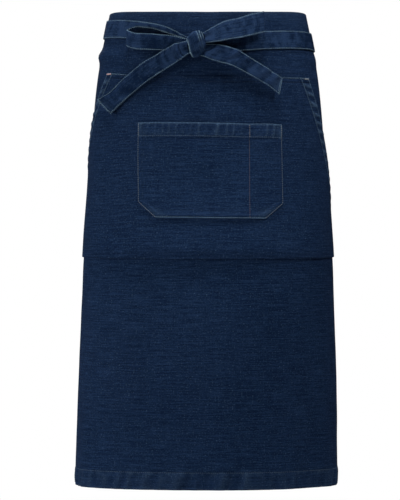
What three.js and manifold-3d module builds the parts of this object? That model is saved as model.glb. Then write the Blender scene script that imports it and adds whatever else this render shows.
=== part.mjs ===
// Long waist apron in dark denim, in the form that it keeps when it is worn and tied in front with a bow.
// Millimetres, +Z up. The front faces -Y, and +X is on the right as seen from the front.
// The origin is the middle of the waist ring, level with the waist edge.
import * as THREE from "three";
import { mergeVertices } from "three/addons/utils/BufferGeometryUtils.js";
import Module from "manifold-3d";

const wasm = await Module();
wasm.setup();

// Cloth
const CLOTH = 1.1; // one layer of denim
const LAYER_GAP = 0.75; // between two layers that lie on each other
const SKIRT_LENGTH = 800; // waist edge to hem
const SKIRT_WIDTH = 820; // side edge to side edge, laid flat
const HEM = 29; // turned in along the bottom
const SIDE_HEM = 11; // turned in along each side edge
const HEM_STEP = 1; // over which a hem's second layer begins

// Front panel: a second layer that makes the hand pockets
const PANEL_TOP = -108; // seam along its upper edge
const PANEL_BOTTOM = -411; // folded lower edge
const PANEL_TOP_HALF = 186; // half of the seam's length
const PANEL_HALF = 296; // half of its width below the pocket mouths
const MOUTH_END = { left: -281, right: -331 }; // lower ends of the slanting pocket mouths
const MOUTH_HEM = 14; // turned edge along each mouth
const MOUTH_GAPE = 2; // how far a mouth stands open
const MOUTH_FADE = 1.15; // where the gape has died out, in mouth lengths from the top
const MOUTH_STIFFNESS = 6; // the higher, the closer the gape keeps to the edge
const PANEL_BULGE = 6.6; // how far the middle of the panel stands off the skirt
const PANEL_BULGE_SPAN = { from: 0.03, to: 0.8 }; // shares of the panel's height over which it grows
const PANEL_ROUND = 1.5; // how soon the bulge falls off towards the sides
const PANEL_FLARE = 6; // how much further its foot stands off on the left
const FLARE_SPAN = { from: 0.55, to: 1 }; // shares of the panel's height over which that grows
const FLARE_SIDES = { from: -200, to: 120 }; // distances towards the left over which that grows
const PANEL_SAG = 3.4; // its fold hangs this much lower in the middle
const PANEL_RISE = 9; // the seam climbs by this much towards the left
const FOLD_LAYER = 1.8; // room for the turned-up layer at the lower fold
const FOLD_SPAN = { from: 0.6, to: 0.95 }; // shares of the panel's height over which that room grows
const TURN_UP = 28; // height of that layer
const TUCK = 0.62; // share of its room that the panel loses where it rolls under
const TUCK_HEIGHT = 12; // over which it does so

// Patch pocket on the front panel
const POCKET = { left: -118, right: 125, top: -185.5, bottom: -345.5 };
const POCKET_TILT = 3.5; // its right end is this much lower
const POCKET_HEM = 24; // turned edge along its mouth
const POCKET_CORNER = { across: 31, up: 27 }; // the cut lower corners
const POCKET_DIVIDER = 68.5; // seam between the wide pocket and the pen slot
const POCKET_BULGE = 9.5; // how far the wide pocket's mouth stands open
const PEN_BULGE = 8; // how far the pen slot's mouth stands open
const POCKET_CLOSE = { from: 0.12, to: 0.82 }; // shares of its depth over which it closes
const CUT_CLEAR = 10; // how far the corner cuts run past the pocket

// Ties and bow
const TIE = 2.2; // a folded and stitched strip
const TIE_WIDTH = 31;
const TIE_HALF = TIE_WIDTH / 2;
const TIE_GAP = 0.7; // between a strip and the cloth that it lies on
const TIE_ROOT = 24; // length that is sewn to the skirt's corner
const ON_SKIRT = CLOTH + TIE_GAP; // lift of a strip that lies on the skirt
const ON_ROOT = ON_SKIRT + TIE + TIE_GAP; // lift of a strip that crosses the other one
const KNOT = { u: -17, z: -57, lift: 14.6, tilt: -17, skew: 0.3, flat: 0.54 };
const KNOT_ROOM = 1.035; // the space that the knot takes out of the strips, as a share of its size

// Level sections of the form that the skirt hangs on, from the waist edge to the hem.
const SECTIONS = [
  { z: -800, halfWidth: 224, halfDepth: 156, sway: -3 },
  { z: -600, halfWidth: 219.6, halfDepth: 152, sway: -1 },
  { z: -410, halfWidth: 211.5, halfDepth: 146, sway: 0 },
  { z: -220, halfWidth: 198, halfDepth: 137, sway: 0 },
  { z: -120, halfWidth: 189.5, halfDepth: 130, sway: 0 },
  { z: -60, halfWidth: 180, halfDepth: 124, sway: 0 },
  { z: 0, halfWidth: 168, halfDepth: 117, sway: 0 },
];
const SQUARENESS = 2.2; // exponent of each section's oval

// How far the waist edge rises above its level, by the distance round the form from the front.
const WAIST_EDGE = [
  { u: 0, rise: 0.8 },
  { u: 100, rise: 2.4 },
  { u: 165, rise: 4.6 },
  { u: 200, rise: 4.2 },
  { u: 260, rise: 1 },
  { u: 410, rise: 0 },
];

// How far the hem rises at the sides, by the same distance, and the depth from which the cloth rises with it.
const HITCH_BEGIN = 600;
const HEM_EDGE = [
  { u: -410, rise: 10 },
  { u: -340, rise: 10 },
  { u: -310, rise: 8.5 },
  { u: -285, rise: 3 },
  { u: -262, rise: 0 },
  { u: -200, rise: 0 },
  { u: 200, rise: 0 },
  { u: 262, rise: 0 },
  { u: 285, rise: 2 },
  { u: 310, rise: 5.5 },
  { u: 340, rise: 7 },
  { u: 410, rise: 7 },
];

// Hanging folds: where they are round the form, how far they stand out at the hem, and how wide they are.
const FOLDS_BEGIN = -300;
const FOLDS = [
  { angle: -118, out: 7, spread: 9 },
  { angle: -100, out: -5, spread: 8 },
  { angle: -66, out: 2.5, spread: 11 },
  { angle: -30, out: -2.5, spread: 13 },
  { angle: 10, out: 2, spread: 14 },
  { angle: 64, out: -10, spread: 13 },
  { angle: 102, out: -6, spread: 8 },
  { angle: 119, out: 7, spread: 9 },
];

// Creases where the tie draws the cloth in, and soft swellings under the knot and at the right thigh.
const CREASES = [
  { angle: -88, z: -68, out: 5, spread: 24, height: 9 },
  { angle: 84, z: -74, out: 1.6, spread: 26, height: 9 },
  { angle: -2, z: -75, out: 5, spread: 17, height: 40 },
  { angle: 42, z: -430, out: 9, spread: 26, height: 120 },
];

// The tie that comes to the front on the right. Angles run from the front round that side.
// It starts at the left corner, passes the back and lies below the other tie's root.
function rightTieRows(corner, root) {
  return [
    { angle: -3.5, z: -57, half: 9, lift: 6 },
    { angle: 6, z: -55, half: 11, lift: 4.6 },
    { angle: 15, z: -52, half: 15, lift: 3.2 },
    { angle: 26, z: -50, half: TIE_HALF, lift: 2.2 },
    { angle: 42, z: -46.5, half: TIE_HALF, lift: ON_SKIRT },
    { angle: 66, z: -44, half: TIE_HALF, lift: ON_SKIRT },
    { angle: 92, z: -45, half: TIE_HALF, lift: ON_SKIRT },
    { angle: 125, z: -45, half: TIE_HALF, lift: ON_SKIRT },
    { angle: corner, z: -50, half: TIE_HALF, lift: ON_SKIRT },
    { angle: 180, z: -36, half: TIE_HALF, lift: ON_SKIRT },
    { angle: 360 - corner, z: -17, half: TIE_HALF, lift: ON_SKIRT },
    { angle: 360 - root, z: -16.5, half: TIE_HALF, lift: ON_SKIRT },
  ];
}

// The tie that comes to the front on the left. Angles run from the front round that side.
// It starts at the right corner and crosses over the other tie and its root.
function leftTieRows(corner, root) {
  return [
    { angle: 7.5, z: -56, half: 9, lift: 6 },
    { angle: 17, z: -52, half: 11, lift: 4.4 },
    { angle: 25, z: -45, half: 14, lift: 3 },
    { angle: 33, z: -38, half: TIE_HALF, lift: 2 },
    { angle: 46, z: -31, half: TIE_HALF, lift: ON_SKIRT },
    { angle: 66, z: -25, half: TIE_HALF, lift: ON_SKIRT },
    { angle: 92, z: -23, half: TIE_HALF, lift: ON_SKIRT },
    { angle: root - 12, z: -22, half: TIE_HALF, lift: ON_SKIRT },
    { angle: root - 3, z: -21.5, half: TIE_HALF, lift: ON_ROOT },
    { angle: 180, z: -18.5, half: TIE_HALF, lift: ON_ROOT },
    { angle: 360 - corner - 7, z: -16.6, half: TIE_HALF, lift: ON_ROOT },
    { angle: 360 - corner, z: -16.4, half: TIE_HALF, lift: ON_SKIRT },
    { angle: 360 - root, z: -16.2, half: TIE_HALF, lift: ON_SKIRT },
  ];
}

// The bow's strips, station by station from the knot. Each row gives both long edges: u round the form
// from the front, z, and lift off the form.
const LEFT_TAIL = [
  { topU: -20, topZ: -53, topLift: 17, lowU: -18, lowZ: -70, lowLift: 16 },
  { topU: -33, topZ: -53, topLift: 19, lowU: -28, lowZ: -73, lowLift: 18 },
  { topU: -49, topZ: -56, topLift: 19, lowU: -41, lowZ: -81, lowLift: 18 },
  { topU: -66, topZ: -64, topLift: 18.6, lowU: -57, lowZ: -91, lowLift: 14.5 },
  { topU: -95, topZ: -79, topLift: 13, lowU: -77, lowZ: -102, lowLift: 10.5 },
  { topU: -134, topZ: -104, topLift: 9, lowU: -113, lowZ: -126, lowLift: 8 },
  { topU: -174, topZ: -134, topLift: 10, lowU: -151, lowZ: -156, lowLift: 8.5 },
  { topU: -199, topZ: -146, topLift: 12, lowU: -168, lowZ: -170.5, lowLift: 9 },
];
const RIGHT_TAIL = [
  { topU: -14, topZ: -57, topLift: 10.5, lowU: -15, lowZ: -75, lowLift: 10.5 },
  { topU: 0, topZ: -56, topLift: 12, lowU: -5, lowZ: -78, lowLift: 11.5 },
  { topU: 16, topZ: -57, topLift: 14.5, lowU: 9, lowZ: -84, lowLift: 13.5 },
  { topU: 45, topZ: -65, topLift: 18, lowU: 37, lowZ: -92, lowLift: 16 },
  { topU: 70, topZ: -80, topLift: 19, lowU: 63, lowZ: -105, lowLift: 17 },
  { topU: 99, topZ: -97, topLift: 16.5, lowU: 90, lowZ: -120.5, lowLift: 14.5 },
  { topU: 123, topZ: -112, topLift: 12.5, lowU: 118, lowZ: -138.5, lowLift: 11 },
];
const LEFT_LOOP = [
  { topU: -20, topZ: -48, topLift: 14, lowU: -20, lowZ: -66, lowLift: 14 },
  { topU: -33, topZ: -48, topLift: 13.6, lowU: -33, lowZ: -66.5, lowLift: 12.6 },
  { topU: -55, topZ: -42, topLift: 14.4, lowU: -55, lowZ: -66.5, lowLift: 11.4 },
  { topU: -76, topZ: -40, topLift: 16, lowU: -76, lowZ: -65.5, lowLift: 13 },
  { topU: -99, topZ: -38, topLift: 18.5, lowU: -99, lowZ: -65, lowLift: 16.5 },
  { topU: -119, topZ: -36, topLift: 17.5, lowU: -120, lowZ: -64, lowLift: 15.5 },
  { topU: -134, topZ: -29, topLift: 12, lowU: -137, lowZ: -57, lowLift: 11 },
  { topU: -126, topZ: -23, topLift: 6.4, lowU: -129, lowZ: -51, lowLift: 7 },
  { topU: -107, topZ: -24, topLift: 6, lowU: -107, lowZ: -53, lowLift: 6.4 },
  { topU: -90, topZ: -27, topLift: 6.2, lowU: -90, lowZ: -56, lowLift: 6.4 },
  { topU: -72, topZ: -33, topLift: 6.8, lowU: -73, lowZ: -58, lowLift: 6.8 },
  { topU: -54, topZ: -39, topLift: 8, lowU: -54, lowZ: -61, lowLift: 8 },
  { topU: -33, topZ: -46, topLift: 9.6, lowU: -33, lowZ: -64, lowLift: 9.6 },
  { topU: -20, topZ: -48, topLift: 10, lowU: -20, lowZ: -64, lowLift: 10 },
];
const RIGHT_LOOP = [
  { topU: -15, topZ: -43, topLift: 16.5, lowU: -12, lowZ: -57, lowLift: 17.5 },
  { topU: -5, topZ: -38, topLift: 16.5, lowU: 0, lowZ: -56, lowLift: 18 },
  { topU: 7, topZ: -29, topLift: 16, lowU: 11, lowZ: -55, lowLift: 19 },
  { topU: 26, topZ: -17, topLift: 15, lowU: 32, lowZ: -51, lowLift: 19.5 },
  { topU: 52, topZ: -11, topLift: 14.5, lowU: 57, lowZ: -45, lowLift: 19.5 },
  { topU: 76, topZ: -3, topLift: 14.5, lowU: 79, lowZ: -39.5, lowLift: 19 },
  { topU: 91, topZ: 1, topLift: 12, lowU: 91, lowZ: -36, lowLift: 14.5 },
  { topU: 78, topZ: -3, topLift: 8.8, lowU: 79, lowZ: -37, lowLift: 8.8 },
  { topU: 52, topZ: -12, topLift: 8, lowU: 57, lowZ: -41, lowLift: 8 },
  { topU: 28, topZ: -20, topLift: 10.5, lowU: 32, lowZ: -47, lowLift: 10.5 },
  { topU: 8, topZ: -32, topLift: 13.5, lowU: 11, lowZ: -51, lowLift: 14 },
  { topU: -5, topZ: -40, topLift: 14, lowU: 0, lowZ: -53, lowLift: 14 },
  { topU: -15, topZ: -44, topLift: 14, lowU: -12, lowZ: -55, lowLift: 14 },
];

// The knot's outline along the line of the strips: how far along, and how high its turns stand.
const KNOT_PROFILE = [
  { along: -16.5, reach: 0 },
  { along: -15.5, reach: 11 },
  { along: -11, reach: 18 },
  { along: -3, reach: 21 },
  { along: 4, reach: 20 },
  { along: 7.5, reach: 17.4 },
  { along: 10, reach: 18.2 },
  { along: 14.5, reach: 12 },
  { along: 16.5, reach: 0 },
];

// How finely the walls are divided
const SKIRT_COLUMNS = 42;
const SKIRT_BANDS = [
  { to: 56, rows: 4 },
  { to: 86, rows: 5 },
  { to: 200, rows: 4 },
  { to: SKIRT_LENGTH - HEM - HEM_STEP, rows: 10 },
];
const PANEL_COLUMNS = 30;
const PANEL_SEAM = 0.03; // share of the panel's height that lies flat at the seam
const PANEL_ROWS = 9;
const FOLD_TURNS = 5;
const TURN_UP_ROWS = 2;
const POCKET_ROWS = 9;
const POCKET_COLUMNS = { wide: 10, pen: 4 };
const TIE_COLUMNS = 64;
const TAIL_STEPS = 16;
const LOOP_STEPS = 40;
const RIBBON_ACROSS = 2;
const KNOT_SIDES = 20;
const ARC_STEPS = 240;
const ANGLE_STEP = 0.004; // radians, for the form's slope
const LEVEL_STEP = 0.5; // for the form's slope

const { clamp, lerp, smoothstep, degToRad, radToDeg } = THREE.MathUtils;

// Reads a column of a table smoothly at any value of its key column, which rises from row to row.
function readTable(rows, key, at, column) {
  const last = rows.length - 1;
  let i = 0;
  while (i < last - 1 && at > rows[i + 1][key]) i += 1;
  const span = rows[i + 1][key] - rows[i][key];
  const slope = (n) => {
    const a = rows[Math.max(n - 1, 0)];
    const b = rows[Math.min(n + 1, last)];
    return (b[column] - a[column]) / (b[key] - a[key]);
  };
  const t = (at - rows[i][key]) / span;
  const bend = t * t * (3 - 2 * t);
  const start = t * (1 - t) * (1 - t) * span * slope(i);
  const end = t * t * (t - 1) * span * slope(i + 1);
  return lerp(rows[i][column], rows[i + 1][column], bend) + start + end;
}

const bell = (x) => Math.exp(-x * x);

// How far the hanging folds and the creases move the cloth out at one place.
function foldsAt(degrees, z) {
  const hanging = smoothstep(-z, -FOLDS_BEGIN, SKIRT_LENGTH);
  let out = 0;
  for (const fold of FOLDS) out += hanging * fold.out * bell((degrees - fold.angle) / fold.spread);
  for (const crease of CREASES) {
    const along = bell((degrees - crease.angle) / crease.spread);
    out += crease.out * along * bell((z - crease.z) / crease.height);
  }
  return out;
}

// A point of the form at an angle round it, 0 at the front and growing to the right.
function formPoint(angle, z) {
  const halfWidth = readTable(SECTIONS, "z", z, "halfWidth");
  const halfDepth = readTable(SECTIONS, "z", z, "halfDepth");
  const across = Math.abs(Math.sin(angle) / halfWidth) ** SQUARENESS;
  const ahead = Math.abs(Math.cos(angle) / halfDepth) ** SQUARENESS;
  const turned = radToDeg(Math.atan2(Math.sin(angle), Math.cos(angle)));
  const reach = (across + ahead) ** (-1 / SQUARENESS) + foldsAt(turned, z);
  const sway = readTable(SECTIONS, "z", z, "sway");
  return new THREE.Vector3(sway + reach * Math.sin(angle), -reach * Math.cos(angle), z);
}

// The same point, lifted off the form along its normal.
function liftedPoint(angle, z, lift) {
  const turn = formPoint(angle + ANGLE_STEP, z).sub(formPoint(angle - ANGLE_STEP, z));
  const climb = formPoint(angle, z + LEVEL_STEP).sub(formPoint(angle, z - LEVEL_STEP));
  const normal = turn.cross(climb).normalize();
  return formPoint(angle, z).addScaledVector(normal, lift);
}

// Lengths along a level section from the front, kept for each level that is asked for.
const arcs = new Map();
function arcAt(z) {
  const level = z.toFixed(2);
  if (!arcs.has(level)) {
    const lengths = [0];
    let before = formPoint(0, z);
    for (let i = 1; i <= ARC_STEPS; i++) {
      const next = formPoint((Math.PI * i) / ARC_STEPS, z);
      lengths.push(lengths[i - 1] + next.distanceTo(before));
      before = next;
    }
    arcs.set(level, lengths);
  }
  return arcs.get(level);
}

// The angle at which cloth wrapped from the front reaches a distance u along a level section.
function angleAt(u, z) {
  const lengths = arcAt(z);
  const far = Math.min(Math.abs(u), lengths[ARC_STEPS]);
  let i = 0;
  while (i < ARC_STEPS - 1 && lengths[i + 1] < far) i += 1;
  const part = (far - lengths[i]) / (lengths[i + 1] - lengths[i]);
  return (Math.sign(u) * Math.PI * (i + part)) / ARC_STEPS;
}

const clothPoint = (u, z, lift) => liftedPoint(angleAt(u, z), z, lift);

// A closed wall between an inner and an outer grid of points, each a list of rows.
function wallGeometry(inner, outer) {
  const rows = outer.length;
  const columns = outer[0].length;
  const points = [...outer.flat(), ...inner.flat()];
  const out = (i, j) => i * columns + j;
  const back = (i, j) => rows * columns + out(i, j);
  const faces = [];
  const quad = (a, b, c, d) => faces.push(a, b, c, a, c, d);
  for (let i = 0; i < rows - 1; i++) {
    for (let j = 0; j < columns - 1; j++) {
      quad(out(i, j), out(i + 1, j), out(i + 1, j + 1), out(i, j + 1));
      quad(back(i, j), back(i, j + 1), back(i + 1, j + 1), back(i + 1, j));
    }
    quad(out(i, 0), back(i, 0), back(i + 1, 0), out(i + 1, 0));
    quad(out(i, columns - 1), out(i + 1, columns - 1), back(i + 1, columns - 1), back(i, columns - 1));
  }
  for (let j = 0; j < columns - 1; j++) {
    quad(out(0, j), out(0, j + 1), back(0, j + 1), back(0, j));
    quad(out(rows - 1, j), back(rows - 1, j), back(rows - 1, j + 1), out(rows - 1, j + 1));
  }
  return new THREE.BufferGeometry().setFromPoints(points).setIndex(faces);
}

// Volume of a closed mesh: negative if its faces point inwards.
function signedVolume(geometry) {
  const place = geometry.getAttribute("position");
  const [a, b, c] = [new THREE.Vector3(), new THREE.Vector3(), new THREE.Vector3()];
  let volume = 0;
  for (let i = 0; i < geometry.index.count; i += 3) {
    [a, b, c].forEach((corner, k) => corner.fromBufferAttribute(place, geometry.index.getX(i + k)));
    volume += a.dot(b.cross(c)) / 6;
  }
  return volume;
}

function facingOut(geometry) {
  if (signedVolume(geometry) < 0) geometry.setIndex([...geometry.index.array].reverse());
  return geometry;
}

function toSolid(geometry) {
  const bare = geometry.clone();
  for (const name of Object.keys(bare.attributes)) if (name !== "position") bare.deleteAttribute(name);
  const merged = mergeVertices(bare, 1e-4);
  const vertProperties = new Float32Array(merged.getAttribute("position").array);
  const triVerts = new Uint32Array(merged.index.array);
  return new wasm.Manifold(new wasm.Mesh({ numProp: 3, vertProperties, triVerts }));
}

function toGeometry(solid) {
  const mesh = solid.getMesh();
  const place = new THREE.BufferAttribute(new Float32Array(mesh.vertProperties), 3);
  const faces = new THREE.BufferAttribute(new Uint32Array(mesh.triVerts), 1);
  return new THREE.BufferGeometry().setAttribute("position", place).setIndex(faces);
}

// What is left of a wall after a cut, without the small pieces that the cut leaves on the far side.
function cutAway(geometry, cutters) {
  let solid = toSolid(geometry);
  for (const cutter of cutters) solid = solid.subtract(toSolid(cutter));
  const pieces = solid.decompose().sort((a, b) => b.volume() - a.volume());
  return toGeometry(pieces[0]);
}

const spread = (from, to, steps) => Array.from({ length: steps + 1 }, (_, i) => lerp(from, to, i / steps));

// Skirt: one layer from the waist edge to the hem, with the hem and the side edges turned in.
function skirtGeometry() {
  const side = SKIRT_WIDTH / 2;
  const inside = spread(-side + SIDE_HEM + HEM_STEP, side - SIDE_HEM - HEM_STEP, SKIRT_COLUMNS);
  const columns = [-side, -side + SIDE_HEM, ...inside, side - SIDE_HEM, side];
  const hemLine = SKIRT_LENGTH - HEM;
  const rows = [0];
  for (const band of SKIRT_BANDS) rows.push(...spread(rows.at(-1), band.to, band.rows).slice(1));
  rows.push(hemLine, SKIRT_LENGTH);
  const turnedIn = (u, down) => Math.abs(u) >= side - SIDE_HEM || down >= hemLine;
  const level = (u, down) => {
    if (down === 0) return readTable(WAIST_EDGE, "u", Math.abs(u), "rise");
    return readTable(HEM_EDGE, "u", u, "rise") * smoothstep(down, HITCH_BEGIN, SKIRT_LENGTH) - down;
  };
  const inner = rows.map((down) =>
    columns.map((u) => clothPoint(u, level(u, down), turnedIn(u, down) ? -CLOTH : 0)),
  );
  const outer = rows.map((down) => columns.map((u) => clothPoint(u, level(u, down), CLOTH)));
  return facingOut(wallGeometry(inner, outer));
}

// Front panel: where its seam runs, how far down a place is, and its half width there.
const panelTop = (u) => PANEL_TOP + PANEL_RISE * clamp(-u / PANEL_TOP_HALF, 0, 1) ** 2;
const panelShare = (u, z) => clamp((panelTop(u) - z) / (panelTop(u) - PANEL_BOTTOM), 0, 1);
const mouthEnd = (u) => (u < 0 ? MOUTH_END.left : MOUTH_END.right);
const mouthShare = (u) => (PANEL_TOP - mouthEnd(u)) / (PANEL_TOP - PANEL_BOTTOM);
const panelHalf = (u, share) => lerp(PANEL_TOP_HALF, PANEL_HALF, Math.min(share / mouthShare(u), 1));

// The gap between the skirt and the front panel.
function panelGap(u, share) {
  const c = clamp(Math.abs(u) / panelHalf(u, share), 0, 1);
  const grown = smoothstep(share, PANEL_BULGE_SPAN.from, PANEL_BULGE_SPAN.to);
  const leftward = smoothstep(-u, FLARE_SIDES.from, FLARE_SIDES.to);
  const flare = PANEL_FLARE * leftward * smoothstep(share, FLARE_SPAN.from, FLARE_SPAN.to);
  const bulge = PANEL_BULGE * grown * (1 - c * c) ** PANEL_ROUND + flare * (1 - c * c);
  const along = Math.min(share / mouthShare(u) / MOUTH_FADE, 1);
  const gape = MOUTH_GAPE * Math.sin(Math.PI * along) * c ** MOUTH_STIFFNESS;
  const foldRoom = (FOLD_LAYER - LAYER_GAP) * smoothstep(share, FOLD_SPAN.from, FOLD_SPAN.to);
  return LAYER_GAP + Math.max(bulge, foldRoom) + gape;
}

const panelOuter = (u, z) => CLOTH + panelGap(u, panelShare(u, z)) + CLOTH;

// Front panel: down from its seam, round the lower fold and up behind it, with hemmed pocket mouths.
function panelGeometry() {
  const columnCount = PANEL_COLUMNS + 5;
  const inner = [];
  const outer = [];
  const columnAt = (j, share) => {
    const left = -panelHalf(-1, share);
    const right = panelHalf(1, share);
    if (j === 0) return left;
    if (j === 1) return left + MOUTH_HEM;
    if (j === columnCount - 2) return right - MOUTH_HEM;
    if (j === columnCount - 1) return right;
    const inset = MOUTH_HEM + HEM_STEP;
    return lerp(left + inset, right - inset, (j - 2) / PANEL_COLUMNS);
  };
  const addRow = (share, place) => {
    const columns = Array.from({ length: columnCount }, (_, j) => columnAt(j, share));
    inner.push(columns.map((u) => place(u, -CLOTH / 2)));
    outer.push(columns.map((u) => place(u, CLOTH / 2)));
  };
  const nearMouth = (u, share) => {
    const fromEdge = panelHalf(u, share) - Math.abs(u);
    return share < mouthShare(u) && fromEdge <= MOUTH_HEM + 1e-6;
  };
  const legLift = CLOTH + LAYER_GAP + CLOTH / 2;
  const tuckShare = TUCK_HEIGHT / (PANEL_TOP - PANEL_BOTTOM);
  const wallLift = (u, share) => {
    const rolled = clamp(1 - (1 - share) / tuckShare, 0, 1) ** 2;
    const tuck = TUCK * Math.max(panelGap(u, 1) - FOLD_LAYER, 0) * rolled;
    return CLOTH + panelGap(u, share) - tuck + CLOTH / 2;
  };
  const turnRadius = (u) => (wallLift(u, 1) - legLift) / 2;
  const foldLevel = (u) => {
    const sag = PANEL_SAG * (1 - (u / panelHalf(u, 1)) ** 2);
    return PANEL_BOTTOM - sag + turnRadius(u) + CLOTH / 2;
  };

  for (const share of [0, ...spread(PANEL_SEAM, 1 - tuckShare, PANEL_ROWS), 1 - tuckShare / 2, 1]) {
    addRow(share, (u, off) => {
      const z = lerp(panelTop(u), foldLevel(u), share);
      const hem = off > 0 && nearMouth(u, share) ? CLOTH : 0;
      return clothPoint(u, z, wallLift(u, share) + off + hem);
    });
  }
  for (let k = 1; k < FOLD_TURNS; k++) {
    const turn = (Math.PI * k) / FOLD_TURNS;
    addRow(1, (u, off) => {
      const reach = turnRadius(u) + off;
      const lift = legLift + turnRadius(u) + reach * Math.cos(turn);
      return clothPoint(u, foldLevel(u) - reach * Math.sin(turn), lift);
    });
  }
  for (const up of spread(0, TURN_UP, TURN_UP_ROWS)) {
    addRow(1, (u, off) => clothPoint(u, foldLevel(u) + up, legLift - off));
  }
  return facingOut(wallGeometry(inner, outer));
}

// The gap between the front panel and the patch pocket: sewn shut at the sides, the foot and the divider.
function pocketGap(u, down) {
  const wide = u < POCKET_DIVIDER;
  const [from, to] = wide ? [POCKET.left, POCKET_DIVIDER] : [POCKET_DIVIDER, POCKET.right];
  const across = Math.sin(Math.PI * clamp((u - from) / (to - from), 0, 1));
  const depth = POCKET.top - POCKET.bottom;
  const open = 1 - smoothstep(down / depth, POCKET_CLOSE.from, POCKET_CLOSE.to);
  return LAYER_GAP + (wide ? POCKET_BULGE : PEN_BULGE) * across * open;
}

// Patch pocket: one layer with a turned mouth edge and cut lower corners.
function pocketGeometry() {
  const columns = [
    ...spread(POCKET.left, POCKET_DIVIDER, POCKET_COLUMNS.wide),
    ...spread(POCKET_DIVIDER, POCKET.right, POCKET_COLUMNS.pen).slice(1),
  ];
  const depth = POCKET.top - POCKET.bottom;
  const rows = [0, POCKET_HEM, ...spread(POCKET_HEM + HEM_STEP, depth, POCKET_ROWS)];
  const tilt = (u) => (POCKET_TILT * (u - POCKET.left)) / (POCKET.right - POCKET.left);
  const place = (u, down, lift) => {
    const z = POCKET.top - down - tilt(u);
    return clothPoint(u, z, panelOuter(u, z) + pocketGap(u, down) + lift);
  };
  const thickness = (down) => (down <= POCKET_HEM ? 2 * CLOTH : CLOTH);
  const inner = rows.map((down) => columns.map((u) => place(u, down, 0)));
  const outer = rows.map((down) => columns.map((u) => place(u, down, thickness(down))));
  const cutters = [POCKET.left, POCKET.right].map((edge) => cornerCutter(edge, place, depth));
  return cutAway(facingOut(wallGeometry(inner, outer)), cutters);
}

// A three-sided block that takes off one lower corner of the pocket, seen from the front.
function cornerCutter(edge, place, depth) {
  const inward = edge < 0 ? 1 : -1;
  const high = place(edge, depth - POCKET_CORNER.up, 0);
  const low = place(edge + inward * POCKET_CORNER.across, depth, 0);
  const slope = new THREE.Vector2(low.x - high.x, low.z - high.z).normalize().multiplyScalar(CUT_CLEAR);
  const outline = new THREE.Shape([
    new THREE.Vector2(high.x - slope.x, -(high.z - slope.y)),
    new THREE.Vector2(low.x + slope.x, -(low.z + slope.y)),
    new THREE.Vector2(high.x - slope.x, -(low.z + slope.y)),
  ]);
  const depthOfCut = SECTIONS[0].halfWidth;
  const block = new THREE.ExtrudeGeometry(outline, { depth: depthOfCut, bevelEnabled: false });
  const merged = mergeVertices(withPositionOnly(block));
  return facingOut(merged).rotateX(-Math.PI / 2).translate(0, -depthOfCut, 0);
}

function withPositionOnly(geometry) {
  return geometry.deleteAttribute("normal").deleteAttribute("uv");
}

// A tie from the knot round the back to its root, on the right (side 1) or the left (side -1).
function tieGeometry(tableOf, side) {
  const corner = radToDeg(angleAt(SKIRT_WIDTH / 2, -TIE_HALF));
  const root = radToDeg(angleAt(SKIRT_WIDTH / 2 - TIE_ROOT, -TIE_HALF));
  const table = tableOf(corner, root);
  const angles = spread(table[0].angle, table[table.length - 1].angle, TIE_COLUMNS);
  const edges = spread(1, -1, RIBBON_ACROSS);
  const grid = (lift) =>
    edges.map((edge) =>
      angles.map((degrees) => {
        const at = (column) => readTable(table, "angle", degrees, column);
        return liftedPoint(side * degToRad(degrees), at("z") + edge * at("half"), at("lift") + lift);
      }),
    );
  return cutAway(facingOut(wallGeometry(grid(0), grid(TIE))), [knotGeometry(KNOT_ROOM)]);
}

// A strip of the bow between its two long edges, thickened to both sides and cut off at the knot.
function ribbonGeometry(table, steps) {
  const edge = (end) =>
    new THREE.CatmullRomCurve3(
      table.map((row) => new THREE.Vector3(row[`${end}U`], row[`${end}Z`], row[`${end}Lift`])),
    );
  const [top, low] = [edge("top"), edge("low")];
  const middle = spread(0, 1, RIBBON_ACROSS).map((across) =>
    spread(0, 1, steps).map((along) => {
      const at = top.getPoint(along).lerp(low.getPoint(along), across);
      return clothPoint(at.x, at.y, at.z);
    }),
  );
  const normalAt = (i, j) => {
    const next = (list, n) => list[Math.min(n + 1, list.length - 1)];
    const last = (list, n) => list[Math.max(n - 1, 0)];
    const along = next(middle[i], j).clone().sub(last(middle[i], j));
    const across = next(middle, i)[j].clone().sub(last(middle, i)[j]);
    return along.cross(across).normalize();
  };
  const grid = (off) =>
    middle.map((row, i) => row.map((point, j) => point.clone().addScaledVector(normalAt(i, j), off)));
  return cutAway(facingOut(wallGeometry(grid(-TIE / 2), grid(TIE / 2))), [knotGeometry(KNOT_ROOM)]);
}

// The knot: a barrel of turned cloth across the strips, flattened towards the wearer, skewed and tilted.
function knotGeometry(size = 1) {
  const profile = KNOT_PROFILE.map((row) => new THREE.Vector2(row.reach * size, row.along * size));
  const barrel = withPositionOnly(new THREE.LatheGeometry(profile, KNOT_SIDES));
  const place = clothPoint(KNOT.u, KNOT.z, KNOT.lift);
  barrel.rotateZ(-Math.PI / 2).scale(1, KNOT.flat, 1);
  barrel.applyMatrix4(new THREE.Matrix4().makeShear(0, KNOT.skew, 0, 0, 0, 0));
  barrel.rotateY(degToRad(KNOT.tilt)).translate(place.x, place.y, place.z);
  return facingOut(mergeVertices(barrel, 1e-3));
}

// Finishes
const DENIM = 0x16263f;
const WASHED = 0x1a2c47;

function piece(name, geometry, color) {
  const material = new THREE.MeshStandardMaterial({ color, roughness: 0.92, metalness: 0 });
  const mesh = new THREE.Mesh(geometry, material);
  mesh.name = name;
  mesh.geometry.computeVertexNormals();
  return mesh;
}

const body = new THREE.Group();
body.add(
  piece("skirt", skirtGeometry(), DENIM),
  piece("front_panel", panelGeometry(), DENIM),
  piece("patch_pocket", pocketGeometry(), DENIM),
);

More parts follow.
